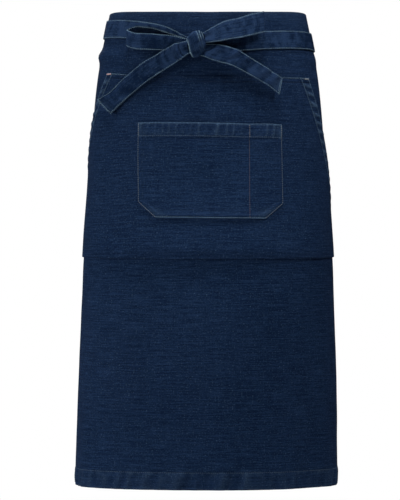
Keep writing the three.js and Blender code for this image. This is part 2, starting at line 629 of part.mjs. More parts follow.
const tie = new THREE.Group();
tie.add(
  piece("waist_tie_left", tieGeometry(leftTieRows, -1), WASHED),
  piece("waist_tie_right", tieGeometry(rightTieRows, 1), WASHED),
  piece("bow_knot", knotGeometry(), WASHED),
  piece("bow_loop_left", ribbonGeometry(LEFT_LOOP, LOOP_STEPS), WASHED),
  piece("bow_loop_right", ribbonGeometry(RIGHT_LOOP, LOOP_STEPS), WASHED),
  piece("bow_tail_left", ribbonGeometry(LEFT_TAIL, TAIL_STEPS), WASHED),
  piece("bow_tail_right", ribbonGeometry(RIGHT_TAIL, TAIL_STEPS), WASHED),
);

const apron = new THREE.Group();
apron.add(body, tie);

export default apron;
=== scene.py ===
import math

import bpy
import numpy as np
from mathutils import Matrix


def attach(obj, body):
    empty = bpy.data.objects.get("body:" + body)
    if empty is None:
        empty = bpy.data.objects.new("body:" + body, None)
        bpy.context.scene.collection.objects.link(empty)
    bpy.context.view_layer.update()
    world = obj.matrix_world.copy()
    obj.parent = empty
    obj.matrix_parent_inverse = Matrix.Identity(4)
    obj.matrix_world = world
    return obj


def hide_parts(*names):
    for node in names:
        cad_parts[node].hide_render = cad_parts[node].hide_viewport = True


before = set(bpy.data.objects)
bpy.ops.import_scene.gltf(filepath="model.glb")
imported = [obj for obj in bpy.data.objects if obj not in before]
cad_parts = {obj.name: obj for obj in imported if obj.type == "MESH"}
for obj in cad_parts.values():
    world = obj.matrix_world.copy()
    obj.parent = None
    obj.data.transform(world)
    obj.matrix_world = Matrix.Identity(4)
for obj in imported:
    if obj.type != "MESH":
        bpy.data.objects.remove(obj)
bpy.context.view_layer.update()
scene = bpy.context.scene
mm = 0.001  # every size in the dictionaries is in millimetres
print("frame loaded:", len(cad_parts), "solids")

# Camera and light

shot = {
    "picture": (400, 500),  # pixels, across and down
    "axisPixel": 207.8,  # where the middle of the apron stands across the picture
    "distance": 5500,  # from the camera to the cloth in front
    "front": -140,  # where that cloth is
    "height": 836,  # what the picture shows at that distance, from top to bottom
    "level": -399,
    "sensor": 36,
}


def addCamera():
    data = bpy.data.cameras.new("camera")
    data.sensor_width = shot["sensor"]
    data.lens = shot["sensor"] * shot["distance"] / shot["height"]
    across, down = shot["picture"]
    data.shift_x = (across / 2 - shot["axisPixel"]) / down
    eye = bpy.data.objects.new("camera", data)
    eye.location = (0, (shot["front"] - shot["distance"]) * mm, shot["level"] * mm)
    eye.rotation_euler = (math.pi / 2, 0, 0)
    scene.collection.objects.link(eye)
    scene.camera = eye


studio = {
    "backdrop": 1.0,  # how bright the white behind the apron is
    "fill": 0.005,  # light that comes from all round
    "aim": (0, -100, -380),
    "lamps": [  # name, place, size, watts
        ("topLamp", (0, -520, 1990), 480, 56),
        ("highLamp", (-1640, -540, 1320), 480, 14.5),
        ("leftLamp", (-2310, -720, -170), 480, 30),
        ("rightLamp", (900, -500, 900), 400, 15.5),
        ("frontLamp", (60, -500, -300), 400, 0.62),
        ("backLamp", (-500, 2600, 1100), 1600, 60),
    ],
    "floorLevel": -1020,
    "floorRadius": 1600,
    "floorTint": (0.9, 0.9, 0.9, 1),
    "floorRough": 0.9,
}


def addLamps():
    aim = np.array(studio["aim"])
    for name, place, size, watts in studio["lamps"]:
        data = bpy.data.lights.new(name, "AREA")
        data.shape = "DISK"
        data.size = size * mm
        data.energy = watts
        lamp = bpy.data.objects.new(name, data)
        lamp.location = [c * mm for c in place]
        x, y, z = aim - np.array(place)
        lamp.rotation_euler = (math.atan2(math.hypot(x, y), -z), 0, math.atan2(-x, y))
        scene.collection.objects.link(lamp)


def addWorld():
    world = bpy.data.worlds.new("studio")
    world.use_nodes = True
    scene.world = world
    tree = world.node_tree
    tree.nodes.clear()
    path = tree.nodes.new("ShaderNodeLightPath")
    choose = tree.nodes.new("ShaderNodeMixShader")
    out = tree.nodes.new("ShaderNodeOutputWorld")
    tree.links.new(path.outputs["Is Camera Ray"], choose.inputs["Fac"])
    for socket, strength in ((1, studio["fill"]), (2, studio["backdrop"])):
        white = tree.nodes.new("ShaderNodeBackground")
        white.inputs["Strength"].default_value = strength
        white.inputs["Color"].default_value = (1, 1, 1, 1)
        tree.links.new(white.outputs[0], choose.inputs[socket])
    tree.links.new(choose.outputs[0], out.inputs["Surface"])


scene.view_settings.view_transform = "Standard"
addCamera()
addLamps()
addWorld()
print("camera, lamps and backdrop made")

# Small tools for tables, bumps and grids


def smooth(x, low, high):
    t = np.clip((np.asarray(x, float) - low) / (high - low), 0, 1)
    return t * t * (3 - 2 * t)


def bell(x):
    return np.exp(-np.square(x))


def mix(a, b, share):
    return a + (b - a) * share


def readTable(rows, at, column):  # smooth reading of one column by the first one
    table = np.array(rows, float)
    keys, values = table[:, 0], table[:, column]
    slopes = np.empty_like(values)
    slopes[1:-1] = (values[2:] - values[:-2]) / (keys[2:] - keys[:-2])
    slopes[0] = (values[1] - values[0]) / (keys[1] - keys[0])
    slopes[-1] = (values[-1] - values[-2]) / (keys[-1] - keys[-2])
    at = np.asarray(at, float)
    i = np.clip(np.searchsorted(keys, at) - 1, 0, len(keys) - 2)
    span = keys[i + 1] - keys[i]
    t = (at - keys[i]) / span
    start = t * (1 - t) ** 2 * span * slopes[i]
    end = t * t * (t - 1) * span * slopes[i + 1]
    return mix(values[i], values[i + 1], t * t * (3 - 2 * t)) + start + end


latticeSize = 128


def ripple(u, v, size, seed):  # smooth uneven bumps of that size, from -1 to 1
    lattice = np.random.default_rng(seed).uniform(-1, 1, (latticeSize, latticeSize))
    x, y = np.broadcast_arrays(np.asarray(u, float) / size[0], np.asarray(v, float) / size[1])
    i, j = np.floor(x).astype(int), np.floor(y).astype(int)
    a, b = smooth(x - i, 0, 1), smooth(y - j, 0, 1)

    def corner(di, dj):
        return lattice[(i + di) % latticeSize, (j + dj) % latticeSize]

    return mix(mix(corner(0, 0), corner(1, 0), a), mix(corner(0, 1), corner(1, 1), a), b)


def peaks(u, v, size, seed, above=0):  # only what rises above that
    return np.clip(ripple(u, v, size, seed) - above, 0, 1)


def gridLine(length, step, rims=(1.0, 1.0), lines=()):  # places along a side, close at ends and seams
    close = np.array([0, 0.12, 0.45, 1.0])
    groove = np.array([-2.4, -1.2, -0.6, 0, 0.6, 1.2, 2.4])
    fixed = [close * rims[0], length - close * rims[1]]
    fixed += [line + groove for line in lines]
    fixed = np.unique(np.round(np.clip(np.concatenate(fixed), 0, length), 4))
    even = np.linspace(0, length, int(math.ceil(length / step)) + 1)
    apart = np.abs(even[:, None] - fixed[None, :]).min(axis=1)
    return np.sort(np.concatenate([fixed, even[apart > 0.45 * step]]))


def rimShare(distance, radius):  # how much of the thickness is there, this far from a rounded edge
    t = np.clip(distance / radius, 0, 1)
    return np.sqrt(np.clip(1 - (1 - t) ** 2, 0, 1))


def unit(vectors):
    return vectors / np.maximum(np.linalg.norm(vectors, axis=-1, keepdims=True), 1e-12)


def tubeFaces(place):  # rows of points that each close to a ring
    beside = np.roll(place, -1, axis=1)
    return np.stack([place[:-1], place[1:], beside[1:], beside[:-1]], -1).reshape(-1, 4)


def gridNormals(grid):
    return unit(np.cross(np.gradient(grid, axis=0), np.gradient(grid, axis=1)))


def sampleGrid(grid, i, j):  # a grid of points, read between its rows and columns
    i = np.clip(i, 0, grid.shape[0] - 1.001)
    j = np.clip(j, 0, grid.shape[1] - 1.001)
    a, b = i.astype(int), j.astype(int)
    s, t = (i - a)[:, None], (j - b)[:, None]
    upper = mix(grid[a, b], grid[a, b + 1], t)
    lower = mix(grid[a + 1, b], grid[a + 1, b + 1], t)
    return mix(upper, lower, s)


# Meshes


def addMesh(name, points, faces, materials, uv=None, wearAndHighlight=None, finish=None):
    mesh = bpy.data.meshes.new(name)
    corners = np.concatenate([f.ravel() for f in faces]).astype(np.int32)
    sides = np.concatenate([np.full(len(f), f.shape[1]) for f in faces])
    starts = (np.cumsum(sides) - sides).astype(np.int32)
    mesh.vertices.add(len(points))
    mesh.vertices.foreach_set("co", (np.asarray(points) * mm).astype(np.float32).ravel())
    mesh.loops.add(len(corners))
    mesh.loops.foreach_set("vertex_index", corners)
    mesh.polygons.add(len(sides))
    mesh.polygons.foreach_set("loop_start", starts)
    mesh.polygons.foreach_set("use_smooth", np.ones(len(sides), bool))
    if finish is not None:
        mesh.polygons.foreach_set("material_index", finish.astype(np.int32))
    if uv is not None:
        layer = mesh.uv_layers.new(name="cloth")
        layer.data.foreach_set("uv", (uv[corners] * mm).astype(np.float32).ravel())
    if wearAndHighlight is not None:
        worn = mesh.attributes.new("wearAndHighlight", "FLOAT", "POINT")
        worn.data.foreach_set("value", wearAndHighlight.astype(np.float32))
    mesh.update(calc_edges=True)
    for material in materials:
        mesh.materials.append(material)
    piece = bpy.data.objects.new(name, mesh)
    scene.collection.objects.link(piece)
    return piece


def layerPlaces(shape, inside):  # point numbers of an outer and an inner layer that share their rim
    front = np.arange(shape[0] * shape[1]).reshape(shape)
    back = front.copy()
    back[inside] = front.size + np.arange(back[inside].size).reshape(back[inside].shape)
    return front, back


def joinLayers(front, back, inside):  # the same order for their points
    return np.concatenate([a.reshape(a.shape[0] * a.shape[1], -1) for a in (front, back[inside])])


def sheetFaces(place):
    corners = [place[:-1, :-1], place[1:, :-1], place[1:, 1:], place[:-1, 1:]]
    return np.stack(corners, -1).reshape(-1, 4)


def addWall(name, made, materials):
    inside = np.s_[1:-1, 1:-1]
    front, back = layerPlaces(made["wearAndHighlight"].shape, inside)
    faces = [sheetFaces(front), sheetFaces(back)[:, [0, 3, 2, 1]]]
    finish = np.repeat([0, len(materials) - 1], [len(f) for f in faces])
    points = joinLayers(made["outer"], made["inner"], inside)
    uv, worn = (joinLayers(made[key], made[key], inside) for key in ("uv", "wearAndHighlight"))
    return addMesh(name, points, faces, materials, uv, worn[:, 0], finish)


# The form that the cloth hangs on

form = {
    "squareness": 2.2,  # exponent of each section's oval
    "sections": [  # level, half width, half depth, sway
        (-800, 224, 156, -3),
        (-600, 219.6, 152, -1),
        (-410, 211.5, 146, 0),
        (-220, 198, 137, 0),
        (-120, 189.5, 130, 0),
        (-60, 180, 124, 0),
        (0, 168, 117, 0),
    ],
    "foldsBegin": 300,
    "foldsEnd": 800,
    "folds": [  # angle round the form, how far out at the hem, spread in degrees
        (-118, 7, 9),
        (-100, -5, 8),
        (-66, 2.5, 11),
        (-30, -2.5, 13),
        (10, 2, 14),
        (64, -10, 13),
        (102, -6, 8),
        (119, 7, 9),
    ],
    "creases": [  # angle, level, how far out, spread in degrees, height
        (-88, -68, 5, 24, 9),
        (84, -74, 1.6, 26, 9),
        (-2, -75, 5, 17, 40),
        (42, -430, 9, 26, 120),
    ],
    "turnStep": 0.004,  # radians, for the form's slope
    "levelStep": 0.5,
    "arcSteps": 240,
    "lowest": -830,
    "highest": 14,
    "tableStep": 2,
    "farthest": 440,
}


def foldsAt(angle, level):
    degrees = np.degrees(np.arctan2(np.sin(angle), np.cos(angle)))
    hanging = smooth(-level, form["foldsBegin"], form["foldsEnd"])
    out = 0
    for at, depth, spread in form["folds"]:
        out = out + hanging * depth * bell((degrees - at) / spread)
    for at, height, depth, spread, tall in form["creases"]:
        out = out + depth * bell((degrees - at) / spread) * bell((level - height) / tall)
    return out


def formPoint(angle, level):
    angle, level = np.broadcast_arrays(np.asarray(angle, float), np.asarray(level, float))
    halfWidth, halfDepth, sway = (readTable(form["sections"], level, c) for c in (1, 2, 3))
    power = form["squareness"]
    across = np.abs(np.sin(angle) / halfWidth) ** power
    ahead = np.abs(np.cos(angle) / halfDepth) ** power
    reach = (across + ahead) ** (-1 / power) + foldsAt(angle, level)
    return np.stack([sway + reach * np.sin(angle), -reach * np.cos(angle), level], -1)


def formNormal(angle, level):
    step, rise = form["turnStep"], form["levelStep"]
    turn = formPoint(angle + step, level) - formPoint(angle - step, level)
    climb = formPoint(angle, level + rise) - formPoint(angle, level - rise)
    return unit(np.cross(turn, climb))


def makeAngleTable():  # rows of levels, columns of distances round the form
    levels = np.arange(form["lowest"], form["highest"] + 1, form["tableStep"])
    angles = np.linspace(0, math.pi, form["arcSteps"] + 1)
    ring = formPoint(angles[None, :], levels[:, None])
    steps = np.linalg.norm(np.diff(ring, axis=1), axis=-1)
    arcs = np.pad(np.cumsum(steps, axis=1), ((0, 0), (1, 0)))
    distances = np.arange(form["farthest"] + 1)
    return np.array([np.interp(distances, arc, angles) for arc in arcs])


angleTable = makeAngleTable()


def angleAt(u, level):  # the angle at which cloth wrapped from the front has come a distance u
    u, level = np.broadcast_arrays(np.asarray(u, float), np.asarray(level, float))
    row = (level.ravel() - form["lowest"]) / form["tableStep"]
    angle = sampleGrid(angleTable[..., None], row, np.abs(u).ravel())
    return np.sign(u) * angle.reshape(u.shape)


def clothPoint(u, level, lift):
    angle = angleAt(u, level)
    return formPoint(angle, level) + formNormal(angle, level) * np.asarray(lift)[..., None]


drape = {  # soft unevenness that every layer shares: size across and down, how far out
    "swell": ((80, 170), 1.0),
    "swellDepth": (90, 330),  # sets in between these distances below the waist
    "dimple": ((24, 36), 0.3),
    "dimpleDepth": (75, 150),
    "drag": ((70, 9), 0.45),  # creases below the ties
    "dragLevel": -90,
    "dragHeight": 16,
}


def drapeLift(u, level):
    (size, out), (small, dent), (pull, crease) = (drape[k] for k in ("swell", "dimple", "drag"))
    lift = out * ripple(u, level, size, 11) * smooth(-level, *drape["swellDepth"])
    lift += dent * ripple(u, level, small, 12) * smooth(-level, *drape["dimpleDepth"])
    near = bell((level - drape["dragLevel"]) / drape["dragHeight"])
    return lift + crease * ripple(u, level, pull, 13) * near


# Finishes


def addNode(tree, kind, **settings):
    node = tree.nodes.new(kind)
    for key, value in settings.items():
        setattr(node, key, value)
    return node


def mathNode(tree, operation, a, b=None):
    node = addNode(tree, "ShaderNodeMath", operation=operation)
    for socket, value in zip(node.inputs, (a, b)):
        if isinstance(value, (int, float)):
            socket.default_value = value
        elif value is not None:
            tree.links.new(value, socket)
    return node.outputs[0]


def mixColor(tree, share, first, second):
    node = addNode(tree, "ShaderNodeMix", data_type="RGBA")
    for socket, value in zip((0, 6, 7), (share, first, second)):
        tree.links.new(value, node.inputs[socket])
    return node.outputs[2]


def newGroup(name, inputs, outputs):
    group = bpy.data.node_groups.new(name, "ShaderNodeTree")
    for label, kind in inputs:
        group.interface.new_socket(label, in_out="INPUT", socket_type="NodeSocket" + kind)
    for label, kind in outputs:
        group.interface.new_socket(label, in_out="OUTPUT", socket_type="NodeSocket" + kind)
    given = group.nodes.new("NodeGroupInput").outputs
    return group, given, group.nodes.new("NodeGroupOutput").inputs


def newMaterial(name):
    material = bpy.data.materials.new(name)
    material.use_nodes = True
    tree = material.node_tree
    return material, tree, tree.nodes["Principled BSDF"]


def addBump(tree, shader, height, strength, distance):
    bump = addNode(tree, "ShaderNodeBump")
    bump.inputs["Strength"].default_value = strength
    bump.inputs["Distance"].default_value = distance * mm
    tree.links.new(height, bump.inputs["Height"])
    tree.links.new(bump.outputs["Normal"], shader.inputs["Normal"])


def streakNoise(tree, cloth, size, shift, detail):  # noise of that size across and along the cloth
    place = addNode(tree, "ShaderNodeVectorMath", operation="MULTIPLY_ADD")
    tree.links.new(cloth, place.inputs[0])
    place.inputs[1].default_value = (1 / (size[0] * mm), 1 / (size[1] * mm), 1)
    place.inputs[2].default_value = (shift, shift * 0.37, 0)
    noise = addNode(tree, "ShaderNodeTexNoise", noise_dimensions="2D")
    noise.inputs["Scale"].default_value = 1
    noise.inputs["Detail"].default_value = detail
    tree.links.new(place.outputs[0], noise.inputs["Vector"])
    return mathNode(tree, "SUBTRACT", noise.outputs[0], 0.5)


weave = {  # each noise: size across and along the cloth, where it is read, detail
    "slub": ((48, 2.1), 3.1, 2),  # thick places in the weft, long and low
    "fleck": ((9, 1.8), 17.7, 2),
    "warp": ((1.3, 38), 41.3, 1),
    "grain": ((1.8, 1.7), 61.9, 0),  # single yarns
    "dye": ((150, 190), 7.9, 2),  # patches of deeper and paler dye
    "mottle": ((13, 24), 29.3, 2),
    "nep": ((2.6, 1.8), 23.1, 0),  # small pale knots in the yarn
}
wornGaps = ((3.2, 2.2), 5.3, 3)  # the same, for what is left dark in worn edges
denim = {
    "yarn": {"slub": 2.0, "fleck": 1.3, "warp": 0.3, "grain": 1.0},
    "streaks": 0.68,
    "contrast": 0.8,
    "level": 0.62,
    "nepAbove": 0.17,  # only the peaks of that noise are knots
    "rough": (0.9, 0.12),  # mean, and what the flecks add
    "twill": (0.95, 0.12),  # from one diagonal rib to the next, height
    "worn": (0.8, 2.2),  # mean, and what the gaps add
    "bump": (0.35, 0.4),  # strength, distance
    "gloss": 0.02,
}


def makeWeaveGroup():
    inputs = [("Cloth", "Vector"), ("Ground", "Color"), ("Slub", "Color"), ("Patches", "Float")]
    outputs = [("Color", "Color"), ("Roughness", "Float"), ("Height", "Float"), ("Specks", "Float")]
    tree, given, result = newGroup("slubWeave", inputs, outputs)
    link = tree.links.new

    def calc(operation, a, b=None):
        return mathNode(tree, operation, a, b)

    noise = {name: streakNoise(tree, given["Cloth"], *settings) for name, settings in weave.items()}
    parts = [calc("MULTIPLY", noise[name], weight) for name, weight in denim["yarn"].items()]
    yarn = parts[0]
    for part in parts[1:]:
        yarn = calc("ADD", yarn, part)
    yarn = calc("MULTIPLY", yarn, denim["streaks"])
    patches = calc("MULTIPLY", calc("ADD", noise["dye"], noise["mottle"]), given["Patches"])
    tone = calc("MULTIPLY", calc("ADD", yarn, patches), denim["contrast"])
    tone = calc("MAXIMUM", calc("ADD", tone, denim["level"]), 0.0)
    shade = addNode(tree, "ShaderNodeClamp")
    link(calc("MULTIPLY", tone, tone), shade.inputs[0])  # few pale yarns on a dark ground
    link(mixColor(tree, shade.outputs[0], given["Ground"], given["Slub"]), result["Color"])
    link(calc("MAXIMUM", calc("SUBTRACT", noise["nep"], denim["nepAbove"]), 0.0), result["Specks"])
    rough, change = denim["rough"]
    link(calc("ADD", calc("MULTIPLY", noise["fleck"], change), rough), result["Roughness"])
    pitch, height = denim["twill"]
    turn = 2 * math.pi / (pitch * mm) / math.sqrt(2)
    ribs = addNode(tree, "ShaderNodeVectorMath", operation="DOT_PRODUCT")
    link(given["Cloth"], ribs.inputs[0])
    ribs.inputs[1].default_value = (turn, turn, 0)
    twill = calc("MULTIPLY", calc("SINE", ribs.outputs["Value"]), height)
    link(calc("ADD", calc("ADD", noise["slub"], noise["fleck"]), twill), result["Height"])
    return tree


# The pale colour is mixed in by this mask: real worn edges, and on the skirt also a painted highlight
# under the waist edge.
def makeWearAndHighlightGroup():
    inputs = [("Cloth", "Vector"), ("Color", "Color"), ("Pale", "Color"), ("WearAndHighlight", "Float")]
    tree, given, result = newGroup("wornEdgesAndHighlight", inputs, [("Color", "Color")])
    broken = streakNoise(tree, given["Cloth"], *wornGaps)
    mean, change = denim["worn"]
    kept = mathNode(tree, "ADD", mathNode(tree, "MULTIPLY", broken, change), mean)
    mask = addNode(tree, "ShaderNodeClamp")
    tree.links.new(mathNode(tree, "MULTIPLY", given["WearAndHighlight"], kept), mask.inputs[0])
    tree.links.new(mixColor(tree, mask.outputs[0], given["Color"], given["Pale"]), result["Color"])
    return tree


weaveGroup = makeWeaveGroup()
wearAndHighlightGroup = makeWearAndHighlightGroup()


def clothMaterial(name, ground, slub, pale, specks, patches):
    material, tree, shader = newMaterial(name)
    link = tree.links.new
    place = addNode(tree, "ShaderNodeUVMap", uv_map="cloth").outputs[0]
    # the wear mask, which on the skirt also holds a painted highlight under the waist edge
    worn = addNode(tree, "ShaderNodeAttribute", attribute_name="wearAndHighlight").outputs["Fac"]
    yarn = addNode(tree, "ShaderNodeGroup", node_tree=weaveGroup)
    edge = addNode(tree, "ShaderNodeGroup", node_tree=wearAndHighlightGroup)
    link(place, yarn.inputs["Cloth"])
    link(place, edge.inputs["Cloth"])
    yarn.inputs["Ground"].default_value = (*ground, 1)
    yarn.inputs["Slub"].default_value = (*slub, 1)
    yarn.inputs["Patches"].default_value = patches
    edge.inputs["Pale"].default_value = (*pale, 1)
    knots = mathNode(tree, "MULTIPLY", yarn.outputs["Specks"], specks)
    link(mathNode(tree, "ADD", worn, knots), edge.inputs["WearAndHighlight"])
    link(yarn.outputs["Color"], edge.inputs["Color"])
    link(edge.outputs["Color"], shader.inputs["Base Color"])
    link(yarn.outputs["Roughness"], shader.inputs["Roughness"])
    addBump(tree, shader, yarn.outputs["Height"], *denim["bump"])
    shader.inputs["Specular IOR Level"].default_value = denim["gloss"]
    return material


ply = {
    "scale": 900,
    "shades": (0.6, 1.3),  # darkest and lightest, as shares of a thread's colour
    "bump": (0.4, 0.1),
    "rough": 0.8,
    "gloss": 0.15,
}


def threadMaterial(name, tint):
    material, tree, shader = newMaterial(name)
    place = addNode(tree, "ShaderNodeTexCoord").outputs["Object"]
    plies = addNode(tree, "ShaderNodeTexNoise")
    plies.inputs["Scale"].default_value = ply["scale"]
    tree.links.new(place, plies.inputs["Vector"])
    ramp = addNode(tree, "ShaderNodeValToRGB")
    for element, shade in zip(ramp.color_ramp.elements, ply["shades"]):
        element.color = (*[shade * c for c in tint], 1)
    tree.links.new(plies.outputs[0], ramp.inputs[0])
    tree.links.new(ramp.outputs[0], shader.inputs["Base Color"])
    addBump(tree, shader, plies.outputs[0], *ply["bump"])
    shader.inputs["Roughness"].default_value = ply["rough"]
    shader.inputs["Specular IOR Level"].default_value = ply["gloss"]
    return material


looks = {  # ground of the weave, pale yarns, worn edges and painted highlight, shares of pale knots and patchy dye
    "rightSide": ((0.0028, 0.008, 0.0245), (0.0104, 0.0243, 0.0615), (0.06, 0.105, 0.165), 1.6, 0.3),
    "wrongSide": ((0.035, 0.055, 0.095), (0.11, 0.15, 0.215), (0.2, 0.25, 0.32), 1.0, 0.3),
    # a darker copy of the tie's cloth, which paints the shade inside the loops
    "tieInsidePaintedShade": ((0.001, 0.003, 0.009), (0.0045, 0.0105, 0.026), (0.15, 0.235, 0.3), 0.4, 0.5),
    "tieSide": ((0.0026, 0.0082, 0.0245), (0.0115, 0.0257, 0.063), (0.15, 0.235, 0.3), 0.4, 2.6),
}
threads = {
    "ecruThread": (0.125, 0.14, 0.16),
    "slateThread": (0.05, 0.078, 0.115),
    "rustThread": (0.1, 0.075, 0.075),
    "roseThread": (0.38, 0.26, 0.27),
    # real stitching, in a thread darker than the cloth that also paints the shadow line along the
    # panel's top seam
    "blueThread": (0.005, 0.012, 0.028),
    "paleThread": (0.135, 0.215, 0.28),
}
rightSide, wrongSide, tieInsidePaintedShade, tieSide = (clothMaterial(name, *look) for name, look in looks.items())
thread = {name: threadMaterial(name, tint) for name, tint in threads.items()}
print("finishes made:", len(looks), "cloths and", len(threads), "threads")

# Stitches

stitch = {
    "long": 2.7,
    "gap": 0.9,
    "thick": 0.7,
    "flat": 0.7,  # the thread's height as a share of its width
    "stations": (0, 0.16, 0.5, 0.84, 1),
    "swell": (0.4, 0.9, 1, 0.9, 0.4),
    "rise": (-0.3, 0.08, 0.2, 0.08, -0.3),  # its ends dip into the cloth
    "sides": 6,
}


def alongPath(values, run, at):
    return np.stack([np.interp(at, run, values[:, k]) for k in range(3)], -1)


def stitchLine(points, normals, thick=1.0):  # stitches along a line of points, as points and faces
    steps = np.linalg.norm(np.diff(points, axis=0), axis=1)
    run = np.pad(np.cumsum(steps), (1, 0))
    pitch = stitch["long"] + stitch["gap"]
    count = max(1, int((run[-1] + stitch["gap"]) / pitch))
    begin = (run[-1] - count * pitch + stitch["gap"]) / 2 + pitch * np.arange(count)
    at = begin[:, None] + stitch["long"] * np.array(stitch["stations"])
    centre = alongPath(points, run, at)
    up = unit(alongPath(normals, run, at))
    side = unit(np.cross(up, np.gradient(centre, axis=1)))
    sides = stitch["sides"]
    turn = np.arange(sides) * 2 * math.pi / sides
    half = stitch["thick"] * thick / 2 * np.array(stitch["swell"])
    wide = half[None, :, None] * np.cos(turn)
    high = half[None, :, None] * np.sin(turn) * stitch["flat"]
    high = high + np.array(stitch["rise"])[None, :, None] * thick
    ring = centre[:, :, None] + side[:, :, None] * wide[..., None] + up[:, :, None] * high[..., None]
    place = np.arange(ring[..., 0].size).reshape(ring.shape[:3])
    beside = np.roll(place, -1, axis=2)
    tube = np.stack([place[:, :-1], beside[:, :-1], beside[:, 1:], place[:, 1:]], -1).reshape(-1, 4)
    caps = np.concatenate([place[:, 0, ::-1], place[:, -1]])
    return ring.reshape(-1, 3), tube, caps


def addStitches(name, lines):  # lines: (thread name, points, normals, thickness share)
    names = sorted({line[0] for line in lines})
    points, quads, caps, first = [], [], [], 0
    for _, path, normals, thick in lines:
        ring, tube, ends = stitchLine(path, normals, thick)
        points.append(ring)
        quads.append(tube + first)
        caps.append(ends + first)
        first += len(ring)
    used = [names.index(line[0]) for line in lines]
    finish = np.concatenate([np.repeat(used, [len(f) for f in group]) for group in (quads, caps)])
    faces = [np.concatenate(quads), np.concatenate(caps)]
    piece = addMesh(name, np.concatenate(points), faces, [thread[n] for n in names], finish=finish)
    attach(piece, "root")
    return piece


def gridPath(made, rows, columns, side="outer"):  # a line over a wall, in the wall's own keys
    grid, rowAt, columnAt = made[side], made["rowAt"], made["columnAt"]
    i = np.interp(rows, rowAt, np.arange(len(rowAt)))
    j = np.interp(columns, columnAt, np.arange(len(columnAt)))
    i, j = np.broadcast_arrays(i, j)
    facing = 1 if side == "outer" else -1
    return sampleGrid(grid, i, j), facing * sampleGrid(gridNormals(grid), i, j)


# Skirt

cloth = 1.1  # one layer of denim
layerGap = 0.75  # between two layers that lie on each other
skirt = {
    "width": 820,
    "length": 800,
    "hem": 29,
    "sideHem": 11,
    "sideLine": 9,  # stitched this far in from the sides
    "hemStep": 1,
    "waistRise": [(0, 0.8), (100, 2.4), (165, 4.6), (200, 4.2), (260, 1), (410, 0)],  # by distance round
    "waistFade": 14,
    "hitchBegin": 600,
    "hemRise": [
        (-410, 10), (-340, 10), (-310, 8.5), (-285, 3), (-262, 0), (-200, 0),
        (200, 0), (262, 0), (285, 2), (310, 5.5), (340, 7), (410, 7),
    ],
    "step": 4.4,
    "hemPucker": ((9, 60), 3.3),
    "puckerSlant": 0.25,
    "puckerSpan": (-5, 8),  # where the puckers set in, from the hem's seam
    "sidePucker": ((60, 8.5), 0.5),
    "groove": (1.1, 0.4),  # width, depth
    "rims": (0.6, 1.1),  # radius at the waist edge and at the hems
    "worn": {"hem": 0.12, "waist": 0.12, "sides": 0.3, "seam": 0.2, "pucker": 0.14, "mottle": 0.08},
    "rubbedAndHighlight": (0.03, 6, 24),  # painted highlight under the waist edge, where the cloth tilts up to the lamps: how much, full down to here, gone by here
    "cut": (0.842, 0.828),  # with what is turned in
}


def skirtSurface():
    width, length = skirt["width"], skirt["length"]
    hemLine, sideLine = length - skirt["hem"], skirt["sideLine"]
    waistRim, hemRim = skirt["rims"]
    columnAt = gridLine(width, skirt["step"], (hemRim, hemRim), (sideLine, width - sideLine))
    rowAt = gridLine(length, skirt["step"], skirt["rims"], (hemLine,))
    s, down = np.meshgrid(columnAt, rowAt)
    u = s - width / 2
    rise = readTable(skirt["waistRise"], np.abs(u), 1)
    level = -down + rise * np.clip(1 - down / skirt["waistFade"], 0, 1)
    level += readTable(skirt["hemRise"], u, 1) * smooth(down, skirt["hitchBegin"], length)
    edge, foot, fromSeam = np.minimum(s, width - s), length - down, down - hemLine
    hemmed = smooth(fromSeam, -skirt["hemStep"], 0)
    sided = 1 - smooth(edge, skirt["sideHem"], skirt["sideHem"] + skirt["hemStep"])
    (size, out), (sideSize, sideOut) = skirt["hemPucker"], skirt["sidePucker"]
    slanting = u + skirt["puckerSlant"] * down
    pucker = ripple(slanting, down, size, 21) * smooth(fromSeam, *skirt["puckerSpan"])
    relief = out * pucker + sideOut * ripple(u, down, sideSize, 22) * sided
    groove, deep = skirt["groove"]
    relief -= deep * bell(fromSeam / groove)
    relief -= deep * bell((edge - sideLine) / groove)
    relief += drapeLift(u, level)
    low = -cloth * np.maximum(hemmed, sided)
    middle, thick = (cloth + low) / 2, (cloth - low) / 2
    rim = rimShare(edge, hemRim) * rimShare(down, waistRim) * rimShare(foot, hemRim)
    angle = angleAt(u, level)
    base, normal = formPoint(angle, level), formNormal(angle, level)
    outer = base + normal * (relief + middle + thick * rim)[..., None]
    inner = base + normal * (relief + middle - thick * rim)[..., None]
    worn = skirt["worn"]
    wearAndHighlight = worn["hem"] * bell(foot / 1.6) + worn["waist"] * bell(down / 1.5)
    wearAndHighlight += worn["sides"] * bell(edge / 1.6)
    wearAndHighlight += worn["seam"] * bell((fromSeam - 1.5) / 2.5) * peaks(u, down, (4, 9), 23)
    wearAndHighlight += worn["mottle"] * hemmed * peaks(u, down, (7, 14), 24)
    # a painted highlight along the band under the waist edge, added to the wear mask
    rubbedAndHighlight, full, gone = skirt["rubbedAndHighlight"]
    wearAndHighlight += worn["pucker"] * np.clip(pucker, 0, 1) + rubbedAndHighlight * (1 - smooth(down, full, gone))
    uv = np.stack([u, level], -1)
    return {"outer": outer, "inner": inner, "rowAt": rowAt, "columnAt": columnAt, "uv": uv, "wearAndHighlight": wearAndHighlight}


def buildSkirt():
    made = skirtSurface()
    piece = addWall("skirt_cloth", made, [rightSide, wrongSide])
    width, length, sideLine = skirt["width"], skirt["length"], skirt["sideLine"]
    across = np.linspace(4, width - 4, 420)
    along = np.linspace(4, length - 4, 400)
    seams = ((length - skirt["hem"], across), (along, sideLine), (along, width - sideLine))
    lines = []
    for side in ("outer", "inner"):
        lines += [("slateThread", *gridPath(made, rows, columns, side), 0.9) for rows, columns in seams]
    stitches = addStitches("skirt_stitches", lines)
    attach(piece, "root")
    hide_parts("skirt")
    print("skirt made:", len(piece.data.polygons), "faces")


buildSkirt()

# Front panel with the slanting hand pockets

